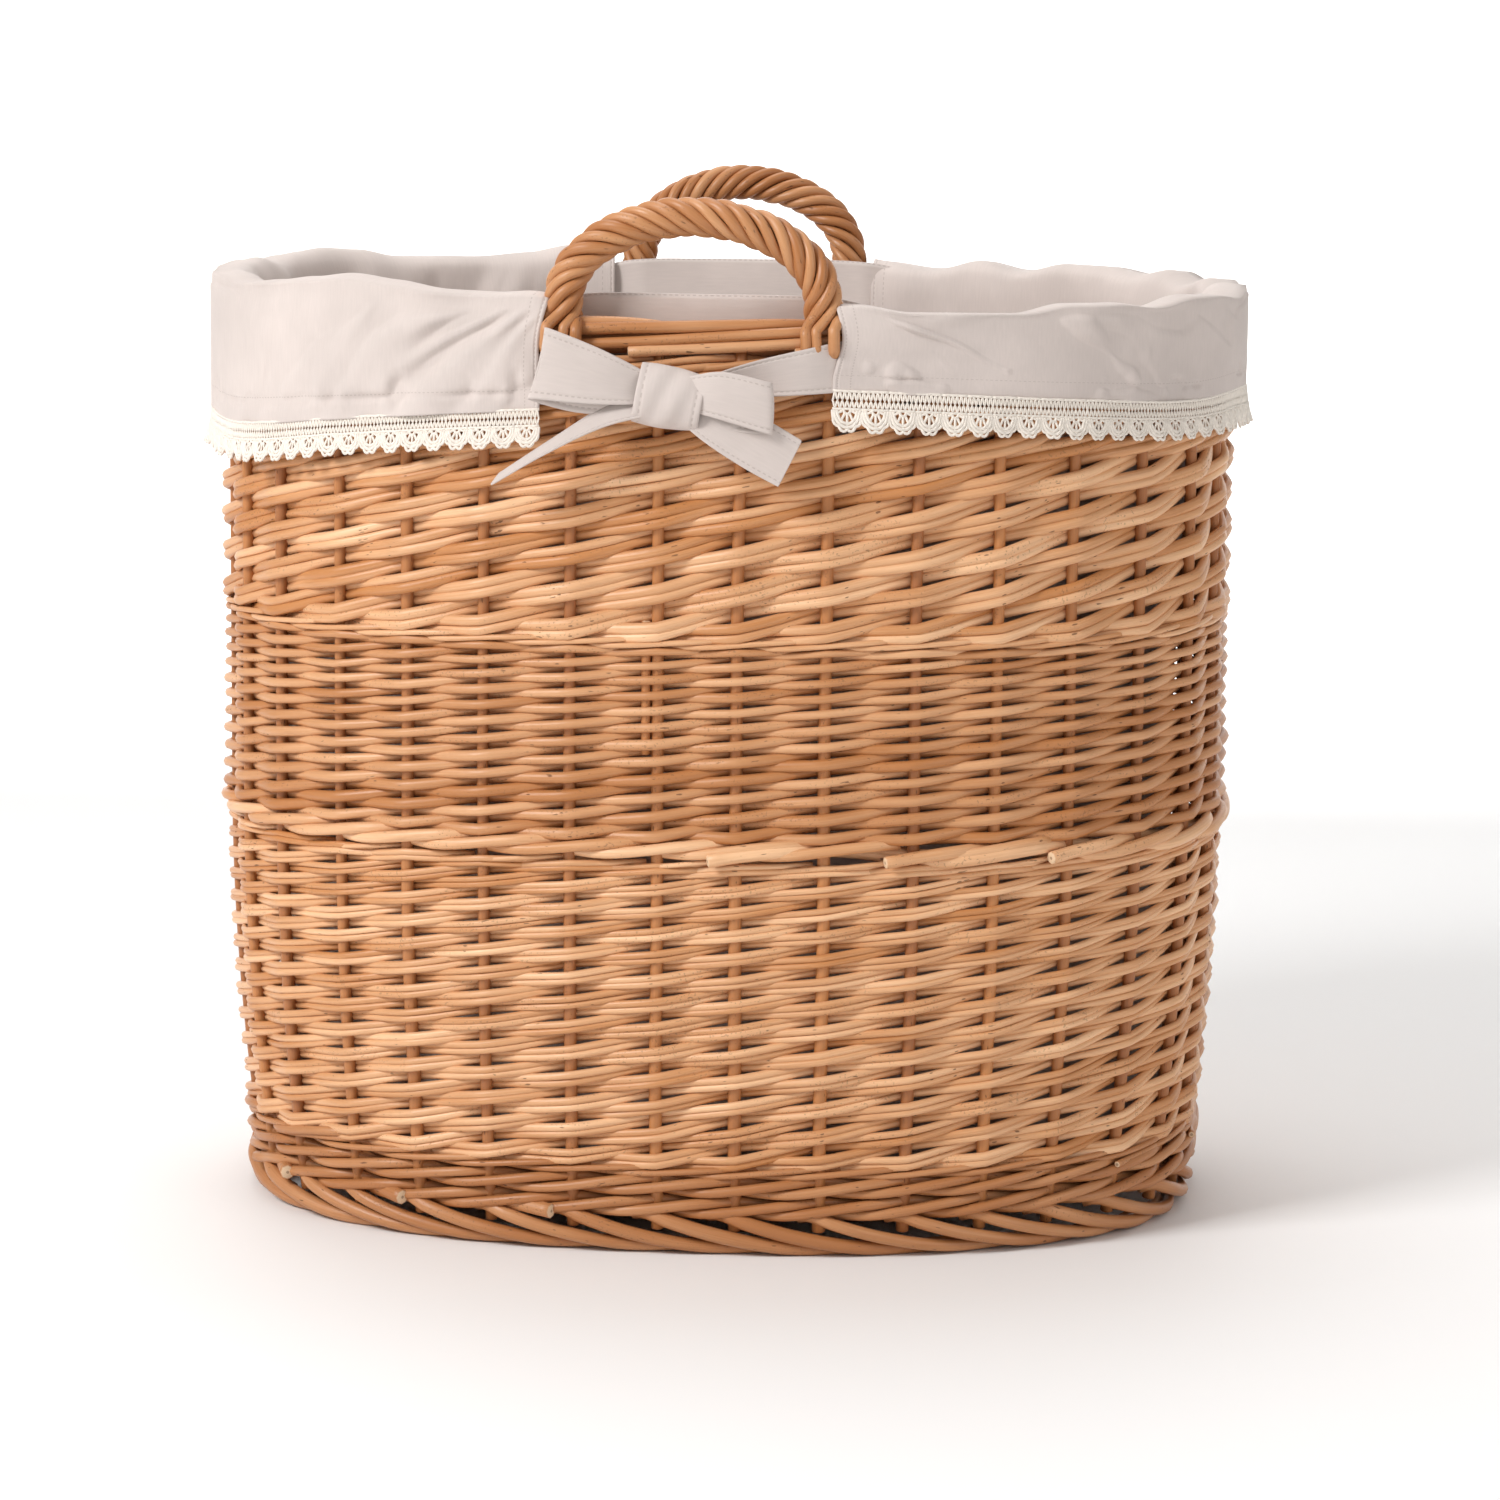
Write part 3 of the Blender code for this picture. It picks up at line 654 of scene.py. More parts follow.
def make_wales(oval, material, pale):
    """The twisted bands at the bottom, middle and top of the wall."""
    thick = 5.5 * MM
    batches = waling(oval, FOOT_TOP + 4.0 * MM, 3, thick, 2.1, 23.3, 61, pitch=2 * thick)
    batches += waling(oval, FOOT_TOP + 23.6 * MM, 3, 3.4 * MM, 1.3, 5.4, 68, pitch=3.4 * MM)
    batches += cut_ends(oval, (28.4, 30.35, 32.28), FOOT_TOP + 6.5 * MM, 3.9 * MM)
    made = make_rods("bottom_wale_rods", batches, material, 62, tone=(0.36, 0.22))
    finish_piece(made, "basket", "wale_willow", "bottom_wale")
    thin = waling(oval, LOWER_TOP + 1.8 * MM, 2, 2.6 * MM, 1.1, 5.5, 63, pitch=1.5 * MM)
    thick = waling(oval, LOWER_TOP + 7.6 * MM, 3, 6.4 * MM, 1.0, 0.17, 64, pitch=3 * MM, slope=0.44)
    batches = thin + thick
    made = make_rods("middle_wale_rods", batches, pale, 65, tone=(0.72, 0.18))
    finish_piece(made, "basket", "wale_willow", "middle_wale")
    batches = waling(oval, MIDDLE_TOP + 2.4 * MM, 3, 2.9 * MM, 1.35, 11.2, 66, pitch=3.6 * MM)
    made = make_rods("upper_wale_rods", batches, pale, 67, tone=(0.62, 0.2))
    finish_piece(made, "basket", "wale_willow", "upper_wale")


def routed(oval, starts, keys, outs, heights, radius, seed, per=7):
    """Rods that follow one route, out and height at a few counts of stakes passed, and differ a little."""
    rng = np.random.default_rng(seed)
    p = np.linspace(keys[0], keys[-1], int((keys[-1] - keys[0]) * per) + 1)
    out = through(keys, np.asarray(outs) * MM, p)[None]
    z = through(keys, np.asarray(heights) * MM, p)[None]
    rods = len(starts)
    s = starts[:, None] + p[None]
    wander = value_noise(p[None] * 0.8, np.arange(rods)[:, None] * 2.3, seed) * 0.5 * MM
    radii = radius * rng.uniform(0.9, 1.08, (rods, 1)) * (1 - 0.04 * p[None] / keys[-1])
    paths, ups = oval.wall(s, np.maximum(z + wander, radii), out + wander[:, ::-1] * 0.8)
    return paths, radii, ups


def make_borders(oval, brown, material):
    """The rolled foot border and the border along the rim, each of rods laid over the next ones."""
    rng = np.random.default_rng(71)
    starts = np.arange(STAKE_COUNT) + 0.35 + rng.uniform(-0.16, 0.16, STAKE_COUNT)
    keys = [-0.12, 0.0, 0.3, 0.9, 1.7, 2.5, 3.1]
    outs = [-2.0, 1.5, 5.8, 6.2, 4.0, -1.5, -6.0]
    heights = [19.5, 21.0, 17.5, 10.5, 4.6, 3.6, 4.2]
    batch = routed(oval, starts, keys, outs, heights, 3.5 * MM, 72, per=10)
    made = make_rods("foot_border_rods", [batch], brown, 73, sides=10, tone=(0.25, 0.2))
    finish_piece(made, "basket", "border_willow", "foot_border")
    top = RIM_HEIGHT / MM
    count = STAKE_COUNT // 2
    starts = 2 * np.arange(count) + 1.2 + rng.uniform(-0.15, 0.15, count)
    keys = [0, 0.4, 2, 4, 5.4, 6.2, 6.8]
    outs = [7.2, 5.6, 5.2, 4.4, 2.0, -2.5, -5.0]
    heights = [top - 17.5, top - 16.2, top - 12.0, top - 6.0, top - 3.6, top - 4.2, top - 8.0]
    upper = routed(oval, starts, keys, outs, heights, 3.0 * MM, 74)
    heights = [top - 17, top - 11, top - 6]
    inner = routed(oval, starts + 1, [0, 3, 6], [-4.8, -5.2, -4.8], heights, 3.0 * MM, 75)
    under = waling(oval, BORDER_BASE + 3.4 * MM, 3, 4.2 * MM, 1.15, 31.2, 76, pitch=4 * MM)
    made = make_rods("top_border_rods", [upper, inner, *under], material, 77, sides=10, tone=(0.45, 0.2))
    return finish_piece(made, "basket", "border_willow", "top_border")


def make_base(oval, material, dark):
    """An oval base: weavers go round in shrinking ovals, over one stick and under the next."""
    long_sticks, cross_sticks = 3, 6
    low, high = BASE_LOW, BASE_HIGH
    middle = (low.z + high.z) / 2
    batches = []
    for i in range(long_sticks):
        y = (i - (long_sticks - 1) / 2) * 24 * MM
        x = np.linspace(low.x + 6 * MM, high.x - 6 * MM, 30)
        batches.append((np.stack([x, np.full_like(x, y), np.full_like(x, middle)], -1), 2.6 * MM))
    for i in range(cross_sticks):
        x = (i - (cross_sticks - 1) / 2) * 56 * MM
        reach = high.y * (1 - abs(x / high.x) ** 2.4) ** (1 / 2.4) - 6 * MM
        y = np.linspace(-reach, reach, 30)
        batches.append((np.stack([np.full_like(y, x), y, np.full_like(y, middle)], -1), 3.4 * MM))
    sticks = [(path, radius, np.tile([0.0, 0, 1], (len(path), 1))) for path, radius in batches]
    made = make_rods("base_stick_rods", ragged(sticks), dark, 81, sides=8, tone=(0.5, 0.2))
    finish_piece(made, "basket", "base_willow", "base_sticks")
    angle = np.linspace(0, TAU, 400, endpoint=False)
    weavers = []
    rounds = 34
    for ring in range(rounds):
        share = 1 - ring / rounds * 0.93
        inset = (1 - share) * high.y
        a, b = max(high.x - inset - 6 * MM, 0.07), max(high.y - inset - 6 * MM, 4 * MM)
        c, s = np.cos(angle), np.sin(angle)
        x = a * np.sign(c) * np.abs(c) ** (2 / 2.2)
        y = b * np.sign(s) * np.abs(s) ** (2 / 2.2)
        z = middle + 3.1 * MM * np.sin(angle * (long_sticks + cross_sticks) + ring * math.pi)
        path = np.stack([x, y, z], -1)
        path = np.concatenate([path, path[:8] + [0, 0, 0.8 * MM]])
        weavers.append((path, 2.1 * MM, np.tile([0.0, 0, 1], (len(path), 1))))
    made = make_rods("base_weave_rods", ragged(weavers), material, 82, sides=6, tone=(0.45, 0.25))
    return finish_piece(made, "basket", "base_willow", "base_weave")


# The handles

BORDER_FRONT = 11.4 * MM  # how far out from the rope the strands run down in front of the border
BORDER_BACK = -8.6 * MM
HANDLE_SHIFT = 3.6 * MM  # how far the front handle stands from the middle, towards -X
BACK_SHIFT = 6.0 * MM  # the same for the back handle and opening
BACK_NARROWER = 0.92  # the back handle's span over the front one's


def make_handle(oval, name, node, face, material, seed):
    """A rope: strands wound round a core along an arch, splayed over the border at its two feet.

    A strand stands off the arch by its own share of a turn plus the arc length times the twist. Below the
    border's top it stops turning, moves out in front of the border or behind it, runs down and tucks in.
    """
    size = sizes()
    low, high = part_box(node)
    plane = (low.y + high.y) / 2
    span = high.x - size.rope / 2
    crown = high.z - size.rope / 2
    straight = RIM_HEIGHT + 8.5 * MM
    foot = RIM_HEIGHT - 19 * MM
    t = np.linspace(-math.pi / 2, math.pi / 2, 120)
    height = straight + (crown - straight) * np.cos(t)
    arch = np.stack([span * np.sin(t), np.full_like(t, plane), height], -1)
    down = np.linspace(foot, straight, 24)[:-1]
    left = np.stack([np.full_like(down, -span), np.full_like(down, plane), down], -1)
    line = np.concatenate([left, arch, left[::-1] * [-1, 1, 1]])
    flare = 3.0 * MM * smooth_step(RIM_HEIGHT + 40 * MM, foot, line[:, 2])
    line[:, 0] += np.sign(line[:, 0]) * flare
    if face < 0:
        line[:, 0] -= HANDLE_SHIFT
    else:
        line[:, 0] = line[:, 0] * BACK_NARROWER - BACK_SHIFT
    steps = np.linalg.norm(np.diff(line, axis=0), axis=1)
    length = np.concatenate([[0], np.cumsum(steps)])
    even = np.linspace(0, length[-1], 220)
    line = np.stack([np.interp(even, length, line[:, i]) for i in range(3)], -1)
    tangent = unit(np.gradient(line, axis=0))
    outward = np.tile([0.0, face, 0], (len(line), 1))
    up = unit(np.cross(outward, tangent)) * (-face)
    rng = np.random.default_rng(seed)
    strand = size.rope / 2 * 0.285
    twist = math.tan(math.radians(39)) / (size.rope / 2 - strand)
    mid = even - even[-1] / 2
    wound = np.abs(mid)[line[:, 2] > RIM_HEIGHT - 6 * MM].max()
    wound_part = mid * np.minimum(1, wound / np.maximum(np.abs(mid), 1e-9))
    droop = np.clip((RIM_HEIGHT + 2 * MM - line[:, 2]) / (RIM_HEIGHT + 2 * MM - foot), 0, 1)
    ease = smooth_step(0.0, 0.45, droop)
    tuck = smooth_step(0.75, 1.0, droop) * 6 * MM
    paths = []
    for i in range(size.strands):
        turn = TAU * (i + 0.3) / size.strands + twist * wound_part
        turn = turn + 0.10 * value_noise(even * 60, i * 2.1, seed)
        reach = (size.rope / 2 - strand) * (1 + 0.04 * value_noise(even * 90, i * 5.3, seed + 1))
        spread = 1 + 0.25 * ease
        sideways = np.cos(turn) * reach * spread
        face_on = np.sin(turn)
        past_border = np.where(face_on > 0, BORDER_FRONT, BORDER_BACK) - np.where(face_on > 0, tuck, -tuck)
        depth = face_on * reach * (1 - ease) + past_border * ease
        paths.append(line + sideways[:, None] * up + depth[:, None] * outward)
    paths = np.stack(paths)
    radii = strand * rng.uniform(0.88, 1.1, (size.strands, 1)) * np.ones(len(line))
    ups = np.broadcast_to(up, paths.shape)
    core = line[None, 18:-18]
    core_radii = np.full(core.shape[:2], size.rope / 2 - 2.1 * strand)
    batches = [(paths, radii, ups), (core, core_radii, up[None, 18:-18])]
    made = make_rods(name, batches, material, seed + 2, sides=10, tone=(0.30, 0.22))
    return finish_piece(made, "basket", "handle_willow", node)


# The liner


CUFF_SHEET = 1.1 * MM


def cloth_grid(name, points, along, across, width, material, thickness=CUFF_SHEET, level=0, closed=False):
    """A sheet over a grid of points. Its metres along, metres across and width are kept for the stitches."""
    rows, columns, _ = points.shape
    i = np.arange(rows * columns).reshape(rows, columns)
    j = np.roll(i, -1, axis=0)
    i, j = (i, j) if closed else (i[:-1], i[1:])
    quads = np.stack([i[:, :-1], j[:, :-1], j[:, 1:], i[:, 1:]], axis=-1).reshape(-1, 4)
    place = np.stack(np.broadcast_arrays(along, across, width), axis=-1).reshape(-1, 3)
    made = build(name, points, quads, np.zeros((0, 3)), material, {"cloth": place})
    if level:
        smooth = made.modifiers.new("smooth", "SUBSURF")
        smooth.levels = smooth.render_levels = level
    wall = made.modifiers.new("cloth", "SOLIDIFY")
    wall.thickness = thickness
    wall.offset = 0
    return made


def folds(u, v, seed, slant, length, width):
    """Ridges of cloth that run along a slanted line, from noise stretched along that line."""
    c, s = math.cos(slant), math.sin(slant)
    along, across = u * c + v * s, v * c - u * s
    ridge = value_noise(along / length + seed * 3.7, across / width + seed * 1.9, seed)
    return np.sign(ridge) * np.abs(ridge) ** 1.4


# Creases from a corner: radians below level, breadth in radians, and relative size
CREASES = ((0.20, 0.05, 0.5), (0.42, 0.06, 0.9), (0.63, 0.05, 1.0), (0.86, 0.07, 0.8), (1.12, 0.07, 0.5))


def fan(oval, metres, drop, seed):
    """Creases that spread from the top corner of each opening, away from it and down, and fade out."""
    first = oval.s_at_x(CUFF_HALF_GAP) * oval.spacing
    along = np.minimum(metres - first, STAKE_COUNT / 2 * oval.spacing - first - metres) + 4 * MM
    down = drop - 0.072
    away = np.hypot(along, down)
    angle = np.arctan2(down, along) + 0.05 * value_noise(away / 0.03, seed * 0.7, seed + 8)
    strength = smooth_step(0.008, 0.035, away) * smooth_step(0.13, 0.06, away)
    ridges = sum(size * np.exp(-(((angle - middle) / breadth) ** 2)) for middle, breadth, size in CREASES)
    return (ridges - 0.4) * strength


PROFILE_STEPS = 120
CUFF_WIDTH = 0.16  # a cuff's metres from its inner edge to its hem
USUAL_DROP = 48  # millimetres from the rim to a cuff's hem
CLEAR_OUT = 10.7 * MM  # the least that a cuff stands out from the wall, clear of its rods
SNUG_OUT = 11.4 * MM  # beyond this its folds are limited

# The line that a cuff follows, up inside the wall, over the rim and down to its hem: its share of the way,
# how far out it is, and how far above the rim, in millimetres
CUFF_LINE = np.array([
    (0.000, -14.2, -62.0),
    (0.120, -14.0, -40.0),
    (0.240, -13.6, -20.0),
    (0.330, -12.6, -6.0),
    (0.385, -10.4, 2.2),
    (0.425, -6.5, 5.6),
    (0.465, -1.0, 6.8),
    (0.505, 5.0, 6.0),
    (0.550, 9.4, 2.6),
    (0.610, 11.4, -4.0),
    (0.730, 12.4, -18.0),
    (0.860, 12.6, -34.0),
    (1.000, 11.6, -USUAL_DROP),
])


def cuff_rest(t, hem):
    """How far out and how high a cuff lies before its folds; t runs from 0 in the bag to 1 at the hem."""
    line = through(CUFF_LINE[:, 0], CUFF_LINE[:, 1:] * MM, t)
    out, above = line[..., 0], line[..., 1]
    return out, RIM_HEIGHT + above + smooth_step(0.6, 1.0, t) * (hem - RIM_HEIGHT + USUAL_DROP * MM)


def cuff_surface(oval, side, s, t, out, z, seed):
    """Adds a cuff's folds, gathers and uneven crest to how far out and how high it lies."""
    metres = s * oval.spacing
    outside, top = smooth_step(0.5, 0.62, t), np.exp(-(((t - 0.46) / 0.1) ** 2))
    drop = t * CUFF_WIDTH
    soft = folds(metres, drop, seed, 0.85, 0.15, 0.021) * 10.0
    soft = soft + folds(metres, drop, seed + 1, -0.6, 0.16, 0.034) * 4.0
    fine = folds(metres, drop, seed + 2, 1.0, 0.11, 0.009) * 3.2 + fan(oval, metres, drop, seed) * 6.0
    low = value_noise(metres / 0.11, seed * 2.0, seed + 3) * 2.0
    stitched = np.exp(-(((t - 0.885) / 0.075) ** 2))
    gather = value_noise(metres / 0.0062, t * 2.5 + seed, seed + 4) * stitched * 3.0
    free = outside * (1 - 0.55 * smooth_step(0.86, 0.97, t))
    press = -1.6 * np.exp(-(((t - 0.905) / 0.02) ** 2))
    out = out + MM * ((soft + fine + low) * free * 0.8 + gather + press)
    most = np.where(np.abs(s - STAKE_COUNT / 4) < 3.2, 0.3, 4.0) * MM
    beyond = np.maximum(out - SNUG_OUT, 0)
    snug = np.clip(out, CLEAR_OUT, SNUG_OUT) + most * np.tanh(beyond / most)
    out = np.where(t > 0.5, snug, out)
    inner = (1 - outside) * (1 - top)
    out = out + MM * (folds(metres, z, seed + 5, 1.2, 0.12, 0.022) * 5.5 - 1.5) * inner
    crest = value_noise(metres / 0.026, 3.3 + seed, seed + 6) * 4.4
    crest = crest + value_noise(metres / 0.09, 1.3, seed + 7) * 2.6
    z = z + MM * (crest + 0.6 - 3.0 * side) * top
    return out, z


HEM_PLACES = [0, 0.08, 0.2, 0.32, 0.42, 0.55, 0.7, 0.88, 1]
HEM_DROPS = {-1: [46, 49, 55.5, 62.5, 60, 60, 62, 57, 47], 1: [34.5, 36.5, 40.5, 44, 42, 47, 54, 50, 44]}


def hem_height(side, share):
    """How high a cuff's hem hangs, from the front opening (share 0) round to the back one (share 1)."""
    return RIM_HEIGHT - through(HEM_PLACES, np.array(HEM_DROPS[side]) * MM, share)


EDGE_SHIFT = 3.5 * MM  # how far the front opening stands from the middle, towards -X


def side_s(oval, side, share, t):
    """Arc length in stakes along one side: share 0 is the front opening's edge and 1 the back one's.

    The right cuff's front edge and the left cuff's back edge lean over the openings towards their hems.
    """
    front = oval.s_at_x(CUFF_HALF_GAP - side * EDGE_SHIFT)
    back = oval.s_at_x(CUFF_HALF_GAP - side * BACK_SHIFT)
    half = STAKE_COUNT / 2
    s = front + (half - front - back) * share
    from_edge = share if side > 0 else 1 - share
    lean = smooth_step(0.6, 0.95, t) * np.exp(-from_edge / 0.05) * 0.12
    return side * (s - side * lean)


def make_cuff(oval, side, name, node, material):
    """One cuff, folded over the rim from inside the bag."""
    share = np.linspace(0, 1, 420)[:, None]
    t = np.linspace(0, 1, PROFILE_STEPS)[None]
    hem = hem_height(side, share)
    s = side_s(oval, side, share, t)
    seed = 101 if side < 0 else 131
    near_end = np.clip(np.exp(-share / 0.012) + np.exp(-(1 - share) / 0.012), 0, 1)
    above_hem = smooth_step(0.75, 0.5, t) * np.exp(-(((t - 0.45) / 0.2) ** 2))
    drawn_back = -side * 0.096 * np.exp(-share / 0.05) * above_hem
    rest_out, rest_z = cuff_rest(t + 0 * share, hem)
    out, z = cuff_surface(oval, side, np.abs(s), t + 0 * share, rest_out, rest_z, seed)
    calm = 1 - 0.75 * near_end
    out, z = rest_out + (out - rest_out) * calm, rest_z + (z - rest_z) * calm
    points, _ = oval.wall(s + drawn_back, z, out)
    if side < 0:
        points = points[::-1]
    metres = share * (STAKE_COUNT / 2) * oval.spacing
    length = metres[-1, 0]
    made = cloth_grid(name, points, t * CUFF_WIDTH + 0 * share, metres + 0 * t, length, material)
    finish_piece(made, "liner", "liner_cotton", node)
    return made, length


def lace_lines(pitch, drop):
    """One scallop's threads on the flat, as (x, y down from the hem, radius): a net, a fan, and picots."""
    lines = []
    for top, bottom, shift in ((0.03, 0.25, 0.0), (0.25, 0.43, 0.5)):
        count = 6
        turn = np.arange(6 * count + 1) / 6
        x = turn / count
        y = (top + bottom) / 2 + (bottom - top) / 2 * np.cos(TAU * (turn + shift))
        lines.append((x, y, 0.68))
    for y in (0.02, 0.45):
        lines.append((np.linspace(0, 1, 9), np.full(9, y), 0.9))
    centre = np.array([0.5, 0.44])
    for i in range(5):
        angle = math.radians(-72 + 36 * i)
        reach = np.array([0.1, 0.28, 0.44])
        lines.append((centre[0] + np.sin(angle) * reach, centre[1] + np.cos(angle) * reach, 0.85))
    angle = np.linspace(-1.45, 1.45, 11)
    for reach, radius in ((0.13, 1.0), (0.36, 1.15), (0.45, 1.2)):
        lines.append((centre[0] + np.sin(angle) * reach, centre[1] + np.cos(angle) * reach, radius))
    angle = np.linspace(-1.5, 1.5, 25)
    picot = 0.495 + 0.06 * np.abs(np.sin(angle / 3.0 * TAU * 2.5))
    lines.append((centre[0] + np.sin(angle) * picot * 1.02, centre[1] + np.cos(angle) * picot, 1.0))
    return [(x * pitch, y * drop, radius * 0.78 * MM) for x, y, radius in lines]


def make_lace(oval, side, name, node, material):
    """A strip of crochet lace under a cuff's hem, from threads laid on the strip's surface."""
    size = sizes()
    first = oval.s_at_x(CUFF_HALF_GAP)
    length = (STAKE_COUNT / 2 - 2 * first) * oval.spacing
    count = int(round(length / size.scallop))
    pitch = length / count
    seed = 151 if side < 0 else 157
    batches = []
    for x, y, radius in lace_lines(pitch, size.lace_drop):
        metres = np.arange(count)[:, None] * pitch + x[None]
        share = np.clip(metres / length, 0, 1)
        down = np.broadcast_to(y, metres.shape)
        hem = hem_height(side, share)
        ruffle = value_noise(metres / 0.021, down * 40, seed) * 2.6
        ruffle = ruffle + value_noise(metres / 0.008, 2.2, seed + 1) * 0.8
        flare = down / size.lace_drop
        out = (11.9 + ruffle * flare + 2.2 * flare**2) * MM
        wobble = value_noise(metres / 0.05, 7.7, seed + 2) * 1.4 * MM * flare
        jitter = value_noise(metres / 0.003, down * 500, seed + 3) * 0.16 * MM
        z = hem + 1.2 * MM - down + wobble + jitter
        points, normals = oval.wall(side_s(oval, side, share, np.ones_like(share)), z, out)
        batches.append((points, np.full(metres.shape, radius), normals))
    made = make_rods(name, batches, material, seed, sides=5, tone=(0.5, 0.1))
    return finish_piece(made, "liner", "lace_cotton", node)


def make_bag(oval, material):
    """The bag: down inside the wall, round a soft corner, and across its floor to the middle."""
    s = np.linspace(0, STAKE_COUNT, 300, endpoint=False)[:, None]
    t = np.linspace(0, 1, 70)[None]
    top = RIM_HEIGHT - 58 * MM
    bottom = BAG_FLOOR + 1.2 * MM
    wall_share = 0.72
    down = np.clip(t / wall_share, 0, 1)
    z = top + (bottom - top) * down
    inner = np.clip((t - wall_share) / (1 - wall_share), 0, 1)
    metres = s * oval.spacing
    around = s * TAU / STAKE_COUNT
    wave = value_noise(4 * np.cos(around) + 20, 4 * np.sin(around) + z * 9 + 20, 171)
    ripple = value_noise(14 * np.cos(around) + 20, 14 * np.sin(around) + z * 5 + 20, 172)
    corner = 9 * MM * np.clip((down - 0.94) / 0.06, 0, 1) ** 2
    slack = (1.6 * wave + 1.1 * ripple + 9.0) * MM
    out = -14.6 * MM - slack * np.sin(math.pi * down) - corner
    points, _ = oval.wall(s + 0 * t, z + 0 * s, out)
    shrink = 1 - inner
    points[..., :2] *= np.maximum(shrink, 0.001)[..., None]
    rumple = 1 + value_noise(points[..., 0] * 40, points[..., 1] * 40, 173)
    points[..., 2] += 1.2 * MM * rumple * np.sin(math.pi * inner)
    across = t * 0.55 + 0.1
    made = cloth_grid("bag", points[::-1], metres + 0 * t, across + 0 * s, 10.0, material, closed=True)
    finish_piece(made, "liner", "liner_cotton", "liner_bag")
    return made


def make_binding(oval, face, name, node, material):
    """The stitched edge of the bag that stands behind a handle, between the cuffs."""
    first = oval.s_at_x(CUFF_HALF_GAP) + 0.25
    centre = 0 if face < 0 else STAKE_COUNT / 2
    s = np.linspace(centre - first, centre + first, 90)[:, None]
    v = np.linspace(0, 1, 30)[None]
    top = RIM_HEIGHT + (9.0 if face < 0 else 6.5) * MM
    depth = 72 * MM
    sag = np.abs((s - centre) / first) ** 6 * 5 * MM
    z = top - depth * (1 - v) + (1.6 * MM * value_noise(s * 0.9, 4.4, 181) - sag) * v
    tucked = 5.0 * MM * smooth_step(0.72, 0.95, np.abs((s - centre) / first))
    out = -14.6 * MM + 1.6 * MM * value_noise(s * 0.8, v * 2.0, 182) + 2.0 * MM * v**3 + tucked
    metres = (s - s[0]) * oval.spacing
    points, _ = oval.wall(s + 0 * v, z, out)
    width = 0.2
    across = width - depth * (1 - v) - 1.8 * MM + 0 * s
    made = cloth_grid(name, points, metres + 0 * v, across, width, material, 1.6 * MM)
    finish_piece(made, "liner", "liner_cotton", node)
    return made


RIBBON_SHEET = 0.9 * MM


def ribbon(name, keys, centres, acrosses, material, nodes=(), curl=0.0):
    """A stitched ribbon: a centre line and its half-width vectors, smooth curves through a few points."""
    t = np.linspace(keys[0], keys[-1], 72)
    centre = through(keys, np.asarray(centres) * MM, t)
    half = through(keys, np.asarray(acrosses) * MM, t)
    tangent = unit(np.gradient(centre, axis=0))
    normal = unit(np.cross(half, tangent))
    v = np.linspace(-1, 1, 15)
    points = centre[:, None] + half[:, None] * v[None, :, None]
    points = points + normal[:, None] * (curl * MM * (1 - v**2))[None, :, None]
    along = np.concatenate([[0], np.cumsum(np.linalg.norm(np.diff(centre, axis=0), axis=1))])
    width = sizes().ribbon
    across = (v + 1) / 2 * width
    made = cloth_grid(name, points, along[:, None], across[None], width, material, RIBBON_SHEET, level=1)
    finish_piece(made, "liner", "liner_cotton", *nodes)
    return made


def turned(points, face):
    """Turns points made for the front half round, for the back."""
    points = np.asarray(points, float)
    return points if face < 0 else points * [-1, -1, 1]


def outside(oval, x, out):
    """The depth, in millimetres, of a point outside the wall of the front, x from the middle."""
    place, _ = oval.wall(oval.s_at_x(x * MM), RIM_HEIGHT - 30 * MM, out * MM)
    return float(place[..., 1]) / MM


